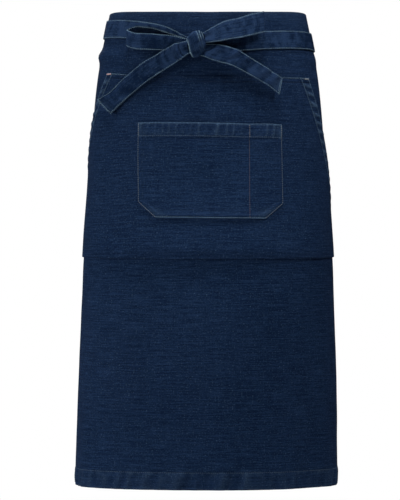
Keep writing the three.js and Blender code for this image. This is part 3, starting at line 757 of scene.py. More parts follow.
panel = {
    "top": -108,
    "bottom": -411,
    "topHalf": 186,
    "half": 296,
    "mouthEnd": (-281, -331),  # left and right
    "mouthHem": (15.5, 22),  # left and right
    "gape": 2,
    "gapeFade": 1.15,
    "gapeStiffness": 6,
    "bulge": 6.6,
    "bulgeSpan": (0.03, 0.8),
    "round": 1.5,
    "flare": 6,  # how much further its foot stands off on the left
    "flareSpan": (0.55, 1.0),
    "flareSides": (-200, 120),
    "sag": 3.4,
    "rise": 9,
    "foldLayer": 1.8,
    "foldSpan": (0.6, 0.95),
    "turnUp": 28,
    "step": 3.2,
    "edgeZone": 30,
    "edgeLine": 2.2,  # stitched this far in from the mouths and sides
    "hemLine": 2,  # and this far short of the hem's inner edge
    "topLines": (2.4, 9),
    "mouthPucker": (18, 2.6),  # from one pucker to the next, how far out
    "puckerSlant": (1.17, 0.3, 5),  # turns with the way down and the way in, and wanders
    "puckerFade": (72, 120),  # pulled flatter round the sides
    "pulled": 0.35,
    "topPucker": ((7, 40), 0.35),
    "groove": (0.9, 0.35),  # width, depth
    "deepest": -0.6,
    "worn": {"top": 0.4, "edge": 0.3, "pucker": 0.5, "seams": 0.5},
    "topWorn": (120, 180),  # the top edge is worn past these distances round
    "cutFrom": 700,  # place in the weave, so that it doesn't repeat the skirt's
    "turns": 8,
    "foldRun": 4,
    "tuck": 0.62,  # how much of the bulge the cloth loses where it rolls under
    "tuckHeight": 12,
    "cut": (0.612, 0.345),
    "cutArea": 0.19,
    "tacks": [("roseThread", -1), ("ecruThread", 1)],
    "tackWidth": 11,
    "tackHeight": 3,
    "tackPitch": 0.62,
}


def panelTop(u):
    return panel["top"] + panel["rise"] * np.clip(-u / panel["topHalf"], 0, 1) ** 2


def panelShare(u, level):
    return np.clip((panelTop(u) - level) / (panelTop(u) - panel["bottom"]), 0, 1)


def mouthShare(u):
    return (panel["top"] - np.where(u < 0, *panel["mouthEnd"])) / (panel["top"] - panel["bottom"])


def panelHalf(u, share):  # half width on the side where u is
    return mix(panel["topHalf"], panel["half"], np.minimum(share / mouthShare(u), 1))


def panelGap(u, share):
    c = np.clip(np.abs(u) / panelHalf(u, share), 0, 1)
    bulge = panel["bulge"] * smooth(share, *panel["bulgeSpan"]) * (1 - c * c) ** panel["round"]
    toLeft = smooth(-u, *panel["flareSides"])
    bulge = bulge + panel["flare"] * toLeft * smooth(share, *panel["flareSpan"]) * (1 - c * c)
    along = np.minimum(share / mouthShare(u) / panel["gapeFade"], 1)
    gape = panel["gape"] * np.sin(math.pi * along) * c ** panel["gapeStiffness"]
    room = (panel["foldLayer"] - layerGap) * smooth(share, *panel["foldSpan"])
    return layerGap + np.maximum(bulge, room) + gape


def panelOuter(u, level):
    return cloth + panelGap(u, panelShare(u, level)) + cloth


def panelColumns():  # keys run from the left edge over the middle to the right edge
    zone = panel["edgeZone"]
    lines = [panel["edgeLine"]] + [hem - panel["hemLine"] for hem in panel["mouthHem"]]
    edge = gridLine(zone, 1.1, (1.0, 0.4), lines)
    count = int(2 * (panel["half"] - zone) / panel["step"])
    middle = np.linspace(-1, 1, count)[1:-1]
    keys = np.concatenate([edge, 2 * zone + zone * middle, 4 * zone - edge[::-1]])
    return keys, edge, middle


def panelSurface():
    keys, edge, middle = panelColumns()
    zone, tall = panel["edgeZone"], panel["top"] - panel["bottom"]
    wall = gridLine(tall, panel["step"], (0.8, 0), panel["topLines"])
    turn = np.linspace(0, math.pi, panel["turns"] + 1)[1:]
    leg = gridLine(panel["turnUp"], panel["step"], (0, 0.6))[1:]
    rowAt = np.concatenate([wall, tall + 1 + turn, tall + 6 + leg])  # keys that only have to rise
    onWall = np.arange(len(rowAt))[:, None] < len(wall)
    share = np.concatenate([wall / tall, np.ones(len(turn) + len(leg))])[:, None]
    left, right = panelHalf(-1, share), panelHalf(1, share)
    inside = mix(zone - left, right - zone, (middle[None, :] + 1) / 2)
    u = np.concatenate([edge[None, :] - left, inside, right - edge[None, ::-1]], axis=1)
    half = panelHalf(u, share)
    inward = half - np.abs(u)
    dTop = share * tall
    legLift = cloth + layerGap + cloth / 2
    bulged = panelGap(u, np.ones_like(share))
    rolled = np.clip(1 - (tall - dTop) / panel["tuckHeight"], 0, 1) ** 2
    tuck = panel["tuck"] * np.maximum(bulged - panel["foldLayer"], 0)
    wallLift = cloth + panelGap(u, share) - tuck * rolled + cloth / 2
    radius = (cloth + bulged - tuck + cloth / 2 - legLift) / 2
    foldLevel = panel["bottom"] - panel["sag"] * (1 - np.square(u / half)) + radius + cloth / 2

    mouth = 1 - smooth(share - mouthShare(u), -0.1, 0.02)
    hemWidth = np.where(u < 0, *panel["mouthHem"])
    strip = 1 - smooth(inward - hemWidth, 0, 1)
    pitch, out = panel["mouthPucker"]  # slanting puckers between the two rows of stitches
    downTurn, inTurn, wander = panel["puckerSlant"]
    slant = dTop * downTurn + inTurn * inward + wander * ripple(dTop, np.sign(u) * 50, (30, 30), 31)
    between = smooth(inward, 1.5, 4) * (1 - smooth(inward - hemWidth, -5, -1.5)) * smooth(dTop, 5, 11)
    pucker = np.sin(2 * math.pi * slant / pitch) * between
    size, topOut = panel["topPucker"]
    seam = topOut * ripple(u, dTop, size, 32) * (1 - smooth(dTop, 8, 14))
    slack = mix(1, panel["pulled"], smooth(dTop, *panel["puckerFade"]))
    relief = mouth * out * slack * (0.5 * pucker + 0.4 * between) * strip + seam
    groove, deep = panel["groove"]
    hemSeam = inward - hemWidth + panel["hemLine"]
    relief = relief - deep * (bell((inward - panel["edgeLine"]) / groove) + bell(hemSeam / groove))
    for line in panel["topLines"]:
        relief = relief - 2 * deep * bell((dTop - line) / groove)
    relief = np.maximum(relief, panel["deepest"])
    hem = cloth * strip * mouth

    wallLevel = mix(panelTop(u), foldLevel, share)
    turned = np.concatenate([np.zeros(len(wall)), turn, np.full(len(leg), math.pi)])[:, None]
    up = np.concatenate([np.zeros(len(wall) + len(turn)), leg])[:, None]
    rim = rimShare(inward * 0.86, 0.8) * rimShare(dTop, 0.8) * rimShare(panel["turnUp"] - up, 0.6)
    swell = drapeLift(u, wallLevel)

    def layer(off):
        reach = radius + off
        level = np.where(onWall, wallLevel, foldLevel - reach * np.sin(turned) + up)
        rounded = legLift + radius + reach * np.cos(turned)
        lift = np.where(onWall, wallLift + relief + off, rounded)
        return clothPoint(u, level, lift + swell)

    middle = hem / 2 * onWall
    outer = layer(mix(middle, cloth / 2 + hem * onWall, rim))
    inner = layer(mix(middle, -cloth / 2, rim))
    fold = panel["foldRun"]
    run = np.concatenate([wall, tall + fold * turn / math.pi, tall + fold + leg])[:, None]
    worn = panel["worn"]
    ends = smooth(np.abs(u), *panel["topWorn"])
    wearAndHighlight = worn["top"] * ends * bell(dTop / 1.4) * onWall + worn["edge"] * bell(inward / 1.2)
    seams = bell((inward - 1.2) / 1.4) + bell(hemSeam / 1.2)
    rubbedAndHighlight = np.clip(worn["pucker"] * pucker + worn["seams"] * seams, 0, 1)
    wearAndHighlight = wearAndHighlight + mouth * strip * rubbedAndHighlight * onWall
    uv = np.stack([u + panel["cutFrom"], panelTop(u) - run], -1)
    return {"outer": outer, "inner": inner, "rowAt": rowAt, "columnAt": keys, "uv": uv, "wearAndHighlight": wearAndHighlight}


def barTack(u, level, lift):  # threads side by side, upright
    width, height = panel["tackWidth"], panel["tackHeight"]
    paths = []
    for at in np.arange(u - width / 2, u + width / 2, panel["tackPitch"]):
        levels = np.linspace(level + height / 2, level - height / 2, 5)
        angle = angleAt(at, levels)
        paths.append((clothPoint(at, levels, lift), formNormal(angle, levels)))
    return paths


def buildPanel():
    made = panelSurface()
    piece = addWall("front_panel_cloth", made, [rightSide, wrongSide])
    last, tall = 4 * panel["edgeZone"], panel["top"] - panel["bottom"]
    down = np.linspace(3, tall - 3, 200)
    lines = []
    leftHem, rightHem = (hem - panel["hemLine"] for hem in panel["mouthHem"])
    for column in (panel["edgeLine"], leftHem, last - rightHem, last - panel["edgeLine"]):
        lines.append(("slateThread", *gridPath(made, down, column), 0.85))
    across = np.linspace(2.5, last - 2.5, 500)
    for inset in panel["topLines"]:
        # the top seam's stitches, dark enough to paint the shadow line along the seam
        lines.append(("blueThread", *gridPath(made, inset, across), 0.75))
    near = np.linspace(2.5, panel["edgeZone"] + 6, 60)
    for columns in (near, last - near[::-1]):  # sewn again towards the mouths
        lines.append(("paleThread", *gridPath(made, panel["topLines"][0] - 0.9, columns), 0.8))
    for name, side in panel["tacks"]:
        u = side * (panel["topHalf"] - panel["tackWidth"] / 2)
        level = float(panelTop(np.array(u))) - 2.5
        lift = cloth + layerGap + 2 * cloth + 0.5
        lines += [(name, points, normals, 0.9) for points, normals in barTack(u, level, lift)]
    stitches = addStitches("front_panel_stitches", lines)
    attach(piece, "root")
    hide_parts("front_panel")
    print("front panel made:", len(piece.data.polygons), "faces")


buildPanel()

# Patch pocket

pocket = {
    "left": -118,
    "right": 125,
    "top": -185.5,
    "bottom": -345.5,
    "tilt": 3.5,
    "hem": 24,
    "corner": (31, 27),  # cut off across and up
    "divider": 68.5,
    "bulge": 9.5,
    "penBulge": 8,
    "close": (0.12, 0.82),
    "step": 2.0,
    "edgeLine": 1.8,
    "hemLine": 22.5,
    "hemPucker": (13, 1.2),  # from one pucker to the next, how far out
    "puckerSlant": (0.12, 5),  # turns with the way down, and wanders
    "edgePucker": ((5, 5), 0.3),
    "groove": (0.9, 0.35),  # width, depth
    "deepest": -0.5,
    "press": 0.3,  # the sewn edges lie closer
    "turnedIn": 9,  # folded twice
    "folded": 1.7,  # layers that the turned edge adds
    "worn": {
        "mouth": 0.54,
        "edge": 0.2,
        "pucker": 0.4,
        "between": 0.14,  # taken off, so that only the ridges wear
        "sides": 0.12,
        "specks": 0.14,
        "corners": 0.12,
    },
    "cutFrom": -800,
    "cut": (0.24, 0.185),
    "cutArea": 0.0436,
}


def pocketGap(u, down, depth):
    wide = u < pocket["divider"]
    start = np.where(wide, pocket["left"], pocket["divider"])
    stop = np.where(wide, pocket["divider"], pocket["right"])
    across = np.sin(math.pi * np.clip((u - start) / (stop - start), 0, 1))
    opened = 1 - smooth(down / depth, *pocket["close"])
    return layerGap + np.where(wide, pocket["bulge"], pocket["penBulge"]) * across * opened


def pocketSurface():
    depth = pocket["top"] - pocket["bottom"]
    width = pocket["right"] - pocket["left"]
    cutAcross, cutUp = pocket["corner"]
    line, hemLine = pocket["edgeLine"], pocket["hemLine"]
    rowAt = gridLine(depth, pocket["step"], (1.1, 0.8), (hemLine, depth - cutUp, depth - line))
    seams = (line, pocket["divider"] - pocket["left"], width - line)
    columnAt = gridLine(width, pocket["step"], (0.8, 0.8), seams)
    share, down = np.meshgrid(columnAt / width, rowAt)
    cut = cutAcross * np.clip((down - depth + cutUp) / cutUp, 0, 1)
    u = mix(pocket["left"] + cut, pocket["right"] - cut, share)
    level = pocket["top"] - down - pocket["tilt"] * (u - pocket["left"]) / width
    slope = cutAcross / cutUp
    steep = np.where(cut > 0, 1 / math.hypot(1, slope), 1.0)
    side = np.minimum(u - pocket["left"] - cut, pocket["right"] - cut - u) * steep
    foot = depth - down
    edge = np.minimum(side, foot)

    band = 1 - smooth(down, pocket["hem"], pocket["hem"] + 1)
    (pitch, out), (fine, fineOut) = pocket["hemPucker"], pocket["edgePucker"]
    downTurn, wander = pocket["puckerSlant"]
    uneven = u + downTurn * down + wander * ripple(u, down, (26, 60), 41)
    pucker = np.sin(2 * math.pi * uneven / pitch) * (0.65 + 0.35 * ripple(u, down, (17, 60), 44))
    relief = out * np.clip(pucker, -0.4, 1) * band * smooth(down, 1, 8) * (1 - smooth(down, 19, 23))
    relief += fineOut * peaks(u, down, fine, 42) * bell((edge - 4.5) / 2.5)
    relief -= pocket["press"] * (1 - smooth(edge, 1.5, 6))
    groove, deep = pocket["groove"]
    relief -= deep * bell((edge - line) / groove)
    relief -= deep * bell((down - hemLine) / groove)
    relief -= deep * bell(u - pocket["divider"])
    turned = 1 - smooth(edge, pocket["turnedIn"] - 1, pocket["turnedIn"] + 1)
    thick = cloth * (1 + np.maximum(band, pocket["folded"] * turned))
    rim = rimShare(side, 0.8) * rimShare(foot, 0.8) * rimShare(down, 1.1)
    base = panelOuter(u, level) + pocketGap(u, down, depth) + np.maximum(relief, pocket["deepest"])
    base = base + drapeLift(u, level) + thick / 2
    outer = clothPoint(u, level, base + thick / 2 * rim)
    inner = clothPoint(u, level, base - thick / 2 * rim)
    worn = pocket["worn"]
    wearAndHighlight = worn["mouth"] * bell(down / 1.4) + worn["edge"] * bell(edge / 1.2)
    wearAndHighlight += band * np.clip(worn["pucker"] * pucker - worn["between"], 0, 1)
    wearAndHighlight += worn["sides"] * band * bell((side - 5) / 6)
    wearAndHighlight += worn["specks"] * band * smooth(down, 8, 13) * peaks(u, down, (2.6, 2.2), 43, 0.1)
    wearAndHighlight += worn["corners"] * bell((side - 6) / 9) * smooth(cut, 2, 20)
    uv = np.stack([u + pocket["cutFrom"], level], -1)
    return {"outer": outer, "inner": inner, "rowAt": rowAt, "columnAt": columnAt, "uv": uv, "wearAndHighlight": wearAndHighlight}


def buildPocket():
    made = pocketSurface()
    piece = addWall("patch_pocket_cloth", made, [rightSide, wrongSide])
    depth = pocket["top"] - pocket["bottom"]
    width = pocket["right"] - pocket["left"]
    line = pocket["edgeLine"]
    down = np.linspace(1.5, depth - line, 160)
    across = np.linspace(line, width - line, 200)
    divider = pocket["divider"] - pocket["left"]
    cutAcross, cutUp = pocket["corner"]
    shifted = np.clip((down - depth + cutUp) / cutUp, 0, 1) * cutAcross
    dividerAt = (divider - shifted) / (width - 2 * shifted) * width
    top = np.linspace(1.2, pocket["hem"], 30)  # sewn twice where the mouth is strained
    seams = [  # thread, rows, columns, thickness share
        ("ecruThread", down, line, 1.0),
        ("ecruThread", down, width - line, 1.0),
        ("paleThread", depth - line, across, 0.8),
        ("slateThread", pocket["hemLine"], across, 1.0),
        ("rustThread", down, dividerAt, 1.0),
        ("ecruThread", top, line + 0.9, 1.0),
        ("ecruThread", top, width - line - 0.9, 1.0),
        ("ecruThread", top, divider + 0.8, 1.0),
    ]
    lines = [(name, *gridPath(made, rows, columns), thick) for name, rows, columns, thick in seams]
    stitches = addStitches("patch_pocket_stitches", lines)
    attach(piece, "root")
    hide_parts("patch_pocket")
    print("patch pocket made:", len(piece.data.polygons), "faces")


buildPocket()

# Knot of the bow

tie = {
    "thick": 2.2,
    "width": 31,
    "gap": 0.7,
    "root": 24,  # length that is sewn to the skirt's corner
    "edgeLine": 1.5,
    "groove": (0.9, 0.35),  # width, depth
    "rim": 1.1,
    "acrossStep": 1.7,
    "alongStep": 2.4,
    "trials": 1400,  # places along a strip where its way out of the knot is looked for
    "edgePucker": ((5.5, 40), 0.22),
    "worn": {"edge": 0.42, "end": 0.6, "nearEnd": 0.03},
    "cutFrom": (523, 259, 11),  # place in the weave, and how far on for each letter's number
}
knot = {
    "u": -17,
    "level": -57,
    "lift": 14.6,
    "tilt": -17,
    "skew": 0.3,  # its right side sits higher
    "flat": 0.54,
    "grip": 0.7,  # how deep the strips reach into it
    "profile": [  # along, reach
        (-16.5, 0), (-15.5, 11), (-11, 18), (-3, 21), (4, 20),
        (7.5, 17.4), (10, 18.2), (14.5, 12), (16.5, 0),
    ],
    "core": 0.86,
    "coreSides": 48,
    "bands": [  # the turns round the knot: outline as along and reach, wander of the edges, seed
        ([(-14.2, 14.4), (-11.5, 18), (-3, 21), (3.5, 20.4), (6.5, 19)], 0.9, 51),
        ([(2.5, 17.6), (7, 18.2), (10.6, 17)], 0.7, 52),
        ([(7, 15.8), (11, 15.6), (14.2, 12.8)], 0.5, 53),
    ],
    "bandThick": 2.0,
    "bandPleat": ((3.4, 16), 0.55),
    "bandDent": ((7, 7), 0.5),
    "worn": {"left": 1.0, "laterLeft": 0.3, "right": 0.7, "specks": 0.05},
    "sides": 120,
    "loop": 14,  # radius on which the bumps are read, so that they close
    "girth": 18,
    "cutFrom": (37, 900),  # place in the weave, a turn of the bands and the core
    "cut": (0.031, 0.19),
}
knotPlace = clothPoint(np.array(knot["u"]), np.array(knot["level"]), np.array(knot["lift"]))
knotTurn = math.radians(knot["tilt"])


def fromKnot(along, ahead, up):  # the knot's own directions to the shared frame
    up = up + knot["skew"] * along
    x = along * math.cos(knotTurn) + up * math.sin(knotTurn)
    z = up * math.cos(knotTurn) - along * math.sin(knotTurn)
    return np.stack([x, ahead, z], -1) + knotPlace


def knotShare(points):  # below 1 inside the knot
    x, y, z = np.moveaxis(points - knotPlace, -1, 0)
    along = x * math.cos(knotTurn) - z * math.sin(knotTurn)
    up = x * math.sin(knotTurn) + z * math.cos(knotTurn) - knot["skew"] * along
    profile = np.array(knot["profile"])
    reach = np.interp(along, profile[:, 0], profile[:, 1], left=1e-3, right=1e-3)
    return np.hypot(y / knot["flat"], up) / np.maximum(reach, 1e-3)


def knotBand(outline, wander, seed):
    length = outline[-1][0] - outline[0][0]
    at = outline[0][0] + gridLine(length, 0.8, (1.0, 1.0))
    turn = np.linspace(0, 2 * math.pi, knot["sides"], endpoint=False)
    along, angle = np.meshgrid(at, turn, indexing="ij")
    reach = readTable(outline, along, 1) - knot["bandThick"] / 2
    x, y = knot["loop"] * np.stack([np.cos(angle), np.sin(angle)])
    (size, pleat), (dentSize, dent) = knot["bandPleat"], knot["bandDent"]
    reach = reach + pleat * ripple(along + 2 * np.sin(angle), x + 9, size, seed)
    reach = reach + dent * ripple(x, y, dentSize, seed + 10)
    shifted = along + wander * ripple(x, y + 40, (12, 12), seed + 20)
    middle = fromKnot(shifted, -np.cos(angle) * reach * knot["flat"], np.sin(angle) * reach)
    wrapped = np.concatenate([middle[:, -1:], middle, middle[:, :1]], axis=1)
    normal = gridNormals(wrapped)[:, 1:-1]
    edge = np.minimum(along - at[0], at[-1] - along)
    half = (knot["bandThick"] / 2 * rimShare(edge, 1.0))[..., None]
    leftEdge, rightEdge = bell((along - at[0]) / 1.6), bell((along - at[-1]) / 1.3)
    upper = smooth(np.sin(angle), -0.1, 0.45)
    first, worn = seed == knot["bands"][0][2], knot["worn"]
    wearAndHighlight = leftEdge * (worn["left"] if first else worn["laterLeft"] * upper)
    wearAndHighlight = wearAndHighlight + worn["right"] * rightEdge * upper
    wearAndHighlight = wearAndHighlight + worn["specks"] * peaks(along, y, (3, 8), seed + 30)
    uv = np.stack([angle * knot["girth"], along + seed * knot["cutFrom"][0]], -1)
    inside = np.s_[1:-1]
    front, back = layerPlaces(along.shape, inside)
    faces = np.concatenate([tubeFaces(front), tubeFaces(back)[:, ::-1]])
    points = joinLayers(middle + normal * half, middle - normal * half, inside)
    return points, faces, joinLayers(uv, uv, inside), joinLayers(wearAndHighlight, wearAndHighlight, inside)[:, 0]


def knotCore():
    profile = np.array(knot["profile"]) * knot["core"]
    turn = np.linspace(0, 2 * math.pi, knot["coreSides"], endpoint=False)
    along, angle = np.meshgrid(profile[1:-1, 0], turn, indexing="ij")
    reach = np.interp(along, profile[:, 0], profile[:, 1])
    ring = fromKnot(along, -np.cos(angle) * reach * knot["flat"], np.sin(angle) * reach)
    ends = fromKnot(profile[[0, -1], 0], np.zeros(2), np.zeros(2))
    place = np.arange(along.size).reshape(along.shape)
    tip = np.full(len(turn), along.size)
    first = np.stack([place[0], np.roll(place[0], -1), tip], -1)
    last = np.stack([np.roll(place[-1], -1), place[-1], tip + 1], -1)
    points = np.concatenate([ring.reshape(-1, 3), ends])
    uv = np.stack([angle * knot["girth"], along + knot["cutFrom"][1]], -1).reshape(-1, 2)
    uv = np.concatenate([uv, np.zeros((2, 2))])
    return points, tubeFaces(place), np.concatenate([first, last]), uv


def buildKnot():
    points, quads, uvs, wears = [], [], [], []
    first = 0
    for outline, wander, seed in knot["bands"]:
        p, f, uv, wearAndHighlight = knotBand(outline, wander, seed)
        points.append(p)
        quads.append(f + first)
        uvs.append(uv)
        wears.append(wearAndHighlight)
        first += len(p)
    p, f, ends, uv = knotCore()
    faces = [np.concatenate(quads + [f + first]), ends + first]
    points, uv = np.concatenate(points + [p]), np.concatenate(uvs + [uv])
    wearAndHighlight = np.concatenate(wears + [np.zeros(len(p))])
    piece = addMesh("bow_knot_cloth", points, faces, [tieSide], uv, wearAndHighlight)
    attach(piece, "root")
    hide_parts("bow_knot")
    print("knot made:", len(piece.data.polygons), "faces")


# Strips of the tie


def buildStrip(node, strip, middleAt):
    width, line, rim, endLines = tie["width"], tie["edgeLine"], tie["rim"], strip["endLines"]
    wide = gridLine(width, tie["acrossStep"], (rim, rim), (line, width - line))
    fine = np.linspace(0, 1, tie["trials"])
    reach = middleAt(wide[:, None] / width, fine[None, :])
    outside = knotShare(reach) > knot["grip"]
    start, stop = fine[outside.argmax(axis=1)], np.ones(len(wide))
    if not endLines:  # a loop goes back into the knot
        stop = fine[len(fine) - 1 - outside[:, ::-1].argmax(axis=1)]
    length = np.linalg.norm(np.diff(reach[len(wide) // 2], axis=0), axis=1).sum()
    run = gridLine(length, tie["alongStep"], (rim, rim), [length - inset for inset in endLines])
    t = mix(start[:, None], stop[:, None], run[None, :] / length)
    across = wide[:, None] * np.ones_like(t)
    along = run[None, :] * np.ones_like(t)
    edge, toEnd = np.minimum(across, width - across), length - along
    middle = middleAt(across / width, t)
    size, out = tie["edgePucker"]
    lift = strip["relief"](across / width, along, length)
    lift = lift + out * ripple(along, across, size, 61) * bell((edge - 3) / 3)
    middle = middle + gridNormals(middle) * lift[..., None]
    normal = gridNormals(middle)
    groove, deep = tie["groove"]
    sewn = bell((edge - line) / groove)
    for inset in endLines:
        sewn = np.maximum(sewn, bell((toEnd - inset) / groove))
    ends = rimShare(np.minimum(along, toEnd), rim)
    thick = ((tie["thick"] / 2 - deep * sewn) * rimShare(edge, rim) * ends)[..., None]
    worn = tie["worn"]
    wearAndHighlight = worn["edge"] * (0.6 + 0.4 * ripple(along, across, (14, 20), 62)) * bell(edge)
    if endLines:
        wearAndHighlight = wearAndHighlight + worn["end"] * bell(toEnd / 1.4) + worn["nearEnd"] * bell((toEnd - 5) / 7)
    alongFrom, acrossFrom, letterStep = tie["cutFrom"]
    alongFrom += letterStep * sum(ord(letter) for letter in node)
    made = {
        "outer": middle + normal * thick,
        "inner": middle - normal * thick,
        "rowAt": wide,
        "columnAt": run,
        "uv": np.stack([along + alongFrom, across + acrossFrom], -1),
        "wearAndHighlight": wearAndHighlight,
    }
    piece = addWall(node + "_cloth", made, strip.get("sides", (tieSide,)))
    lines = []
    path, cross = np.linspace(2, length - 2, int(length / 2)), np.linspace(3, width - 3, 30)
    for side in ("outer", "inner"):
        seams = [(inset, path) for inset in (line, width - line)]
        seams += [(cross, length - inset) for inset in endLines]
        lines += [("paleThread", *gridPath(made, rows, columns, side), 0.8) for rows, columns in seams]
    stitches = addStitches(node + "_stitches", lines)
    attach(piece, "root")
    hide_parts(node)
    print(node, "made:", round(length), "mm long")


def edgeCurve(rows):  # a smooth line through the stations, evenly timed
    points = np.array(rows, float)
    before, after = 2 * points[0] - points[1], 2 * points[-1] - points[-2]
    padded = np.concatenate([[before], points, [after]])
    gaps = np.linalg.norm(np.diff(padded, axis=0), axis=1) ** 0.5
    a, b, c, d = padded[:-3], padded[1:-2], padded[2:-1], padded[3:]
    s, m, e = gaps[:-2, None], gaps[1:-1, None], gaps[2:, None]
    leave = ((b - a) / s - (c - a) / (s + m) + (c - b) / m) * m
    arrive = ((c - b) / m - (d - b) / (m + e) + (d - c) / e) * m

    def at(t):
        place = np.clip(np.asarray(t, float), 0, 1) * (len(points) - 1)
        i = np.minimum(place.astype(int), len(points) - 2)
        w = (place - i)[..., None]
        b_, c_, l_, r_ = b[i], c[i], leave[i], arrive[i]
        return b_ + l_ * w + (3 * (c_ - b_) - 2 * l_ - r_) * w**2 + (2 * (b_ - c_) + l_ + r_) * w**3

    return at


def ribbonMiddle(stations):
    top, low = edgeCurve([s[:3] for s in stations]), edgeCurve([s[3:] for s in stations])

    def at(share, t):
        share, t = np.broadcast_arrays(share, t)
        uneven = 1 + 0.06 * ripple(t, np.sign(share - 0.5), (0.09, 3), len(stations))
        edge = 0.5 + (share - 0.5) * uneven  # the edges waver a little
        u, level, lift = np.moveaxis(mix(top(t), low(t), edge[..., None]), -1, 0)
        return clothPoint(u, level, lift)

    return at


def pleats(turns, deep, fade, phase, sway, seed, curl=0):  # gathers out of the knot, and cross folds
    def relief(share, along, length):
        lift = deep * np.sin(2 * math.pi * turns * share + phase) * np.exp(-along / fade)
        wave = ripple(along + 8 * share, share * 20, (9, 30), seed)
        lift = lift + sway * wave * smooth(along, 10, 36)
        back = smooth(along / length, 0.5, 0.6) * (1 - smooth(along / length, 0.78, 0.96))
        return lift + curl * bell(share / 0.22) * back  # the far strand's upper edge rolls over

    return relief


bowStrips = {  # stations: upper edge as distance round, level, lift, then lower edge
    "bow_tail_left": {
        "stations": [
            (-20, -53, 17, -18, -70, 16),
            (-33, -53, 19, -28, -73, 18),
            (-49, -56, 19, -41, -81, 18),
            (-66, -64, 18.6, -57, -91, 14.5),
            (-95, -79, 13, -77, -102, 10.5),
            (-134, -104, 9, -113, -126, 8),
            (-174, -134, 10, -151, -156, 8.5),
            (-199, -146, 12, -168, -170.5, 9),
        ],
        "relief": pleats(0.6, -3.0, 32, 1.4, 3.3, 72),
        "flat": (0.031, 0.19),
        "held": "hung",
        "restsOn": ["bow_knot_cloth", "front_panel_cloth"],
        "endLines": (3.0,),
    },
    "bow_tail_right": {
        "stations": [
            (-14, -57, 10.5, -15, -75, 10.5),
            (0, -56, 12, -5, -78, 11.5),
            (16, -57, 14.5, 9, -84, 13.5),
            (45, -65, 18, 37, -92, 16),
            (70, -80, 19, 63, -105, 17),
            (99, -97, 16.5, 90, -120.5, 14.5),
            (123, -112, 12.5, 118, -138.5, 11),
        ],
        "relief": pleats(0.5, 1.2, 50, -1.3, 2.5, 73),
        "flat": (0.031, 0.14),
        "held": "hung",
        "restsOn": ["bow_knot_cloth", "front_panel_cloth"],
        "endLines": (3.0,),
    },
    "bow_loop_left": {
        "stations": [
            (-20, -48, 14, -20, -66, 14),
            (-33, -48, 13.6, -33, -66.5, 12.6),
            (-55, -42, 14.4, -55, -66.5, 11.4),
            (-76, -40, 16, -76, -65.5, 13),
            (-99, -38, 18.5, -99, -65, 16.5),
            (-119, -36, 17.5, -120, -64, 15.5),
            (-134, -29, 12, -137, -57, 11),
            (-126, -23, 6.4, -129, -51, 7),
            (-107, -24, 6, -107, -53, 6.4),
            (-90, -27, 6.2, -90, -56, 6.4),
            (-72, -33, 6.8, -73, -58, 6.8),
            (-54, -39, 8, -54, -61, 8),
            (-33, -46, 9.6, -33, -64, 9.6),
            (-20, -48, 10, -20, -64, 10),
        ],
        "relief": pleats(0.25, -2.5, 110, 1.57, 0.9, 74, 5.5),
        "flat": (0.031, 0.21),
        "held": "folded",
        "restsOn": ["bow_knot_cloth"],
        "endLines": (),
        # the loop's inner faces take the darker copy, which paints the shade inside the loop
        "sides": (tieInsidePaintedShade, tieSide),
    },
    "bow_loop_right": {
        "stations": [
            (-15, -43, 16.5, -12, -57, 17.5),
            (-5, -38, 16.5, 0, -56, 18),
            (7, -29, 16, 11, -55, 19),
            (26, -17, 15, 32, -51, 19.5),
            (52, -11, 14.5, 57, -45, 19.5),
            (76, -3, 14.5, 79, -39.5, 19),
            (91, 1, 12, 91, -36, 14.5),
            (78, -3, 8.8, 79, -37, 8.8),
            (52, -12, 8, 57, -41, 8),
            (28, -20, 10.5, 32, -47, 10.5),
            (8, -32, 13.5, 11, -51, 14),
            (-5, -40, 14, 0, -53, 14),
            (-15, -44, 14, -12, -55, 14),
        ],
        "relief": pleats(1.5, 1.2, 26, 0.2, 1.0, 75),
        "flat": (0.031, 0.21),
        "held": "folded",
        "restsOn": ["bow_knot_cloth"],
        "endLines": (),
        # the loop's inner faces take the darker copy, which paints the shade inside the loop
        "sides": (tieSide, tieInsidePaintedShade),
    },
}
for node, strip in bowStrips.items():
    buildStrip(node, strip, ribbonMiddle(strip["stations"]))
buildKnot()

# Ties round the waist

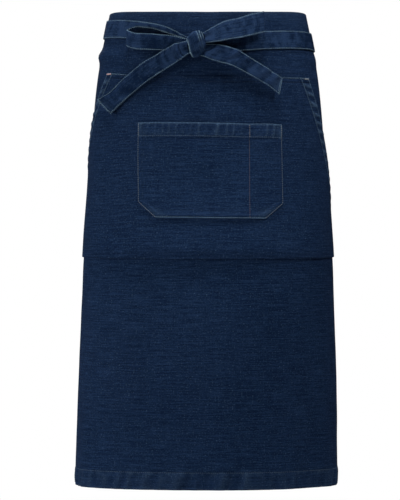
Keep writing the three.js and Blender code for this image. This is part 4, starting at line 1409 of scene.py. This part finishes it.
tieHalf = tie["width"] / 2
onSkirt = cloth + tie["gap"]  # lift of a strip that lies on the skirt
onRoot = onSkirt + tie["thick"] + tie["gap"]  # lift of a strip that crosses the other one
corner = math.degrees(float(angleAt(skirt["width"] / 2, -tieHalf)))
root = math.degrees(float(angleAt(skirt["width"] / 2 - tie["root"], -tieHalf)))
tieSheet = {
    "flat": (0.031, 0.6),
    "held": "stretched",
    "restsOn": ["skirt_cloth"],
    "endLines": (3.0, 21.0),
}
waistTies = {  # rows: degrees from the front round that side, level, half width, lift
    "waist_tie_right": {
        "side": 1,
        "rows": [
            (-3.5, -57, 9, 6),
            (6, -55, 11, 4.6),
            (15, -52, 15, 3.2),
            (26, -50, tieHalf, 2.2),
            (42, -46.5, tieHalf, onSkirt),
            (66, -44, tieHalf, onSkirt),
            (92, -45, tieHalf, onSkirt),
            (125, -45, tieHalf, onSkirt),
            (corner, -50, tieHalf, onSkirt),
            (180, -36, tieHalf, onSkirt),
            (360 - corner, -17, tieHalf, onSkirt),
            (360 - root, -16.5, tieHalf, onSkirt),
        ],
        "relief": pleats(1.2, 0.5, 22, 0.4, 0.12, 76),
    },
    "waist_tie_left": {
        "side": -1,
        "rows": [
            (7.5, -56, 9, 6),
            (17, -52, 11, 4.4),
            (25, -45, 14, 3),
            (33, -38, tieHalf, 2),
            (46, -31, tieHalf, onSkirt),
            (66, -25, tieHalf, onSkirt),
            (92, -23, tieHalf, onSkirt),
            (root - 12, -22, tieHalf, onSkirt),
            (root - 3, -21.5, tieHalf, onRoot),
            (180, -18.5, tieHalf, onRoot),
            (360 - corner - 7, -16.6, tieHalf, onRoot),
            (360 - corner, -16.4, tieHalf, onSkirt),
            (360 - root, -16.2, tieHalf, onSkirt),
        ],
        "relief": pleats(1.2, 0.5, 22, 2.0, 0.12, 77),
    },
}


def tieMiddle(rows, side):
    def at(share, t):
        share, t = np.broadcast_arrays(share, t)
        degrees = mix(rows[0][0], rows[-1][0], t)
        level, half, lift = (readTable(rows, degrees, column) for column in (1, 2, 3))
        angle = side * np.radians(degrees)
        height = level + (1 - 2 * share) * half
        out = (lift + tie["thick"] / 2)[..., None]
        return formPoint(angle, height) + formNormal(angle, height) * out

    return at


for node, strip in waistTies.items():
    buildStrip(node, {**strip, **tieSheet}, tieMiddle(strip["rows"], strip["side"]))

# Floor


def addFloor():
    rings = np.linspace(0, studio["floorRadius"], 24)[1:]
    turn = np.linspace(0, 2 * math.pi, 96, endpoint=False)
    reach, angle = np.meshgrid(rings, turn, indexing="ij")
    level = np.full_like(reach, studio["floorLevel"])
    flat = np.stack([reach * np.cos(angle), reach * np.sin(angle), level], -1)
    place = np.arange(reach.size).reshape(reach.shape)
    quads = tubeFaces(place)
    middle = np.stack([place[0], np.roll(place[0], -1), np.full(len(turn), reach.size)], -1)
    points = np.concatenate([flat.reshape(-1, 3), [[0, 0, studio["floorLevel"]]]])
    material, _, shader = newMaterial("paleFloor")
    shader.inputs["Base Color"].default_value = studio["floorTint"]
    shader.inputs["Roughness"].default_value = studio["floorRough"]
    floor = addMesh("floor", points, [quads, middle], [material])


addFloor()
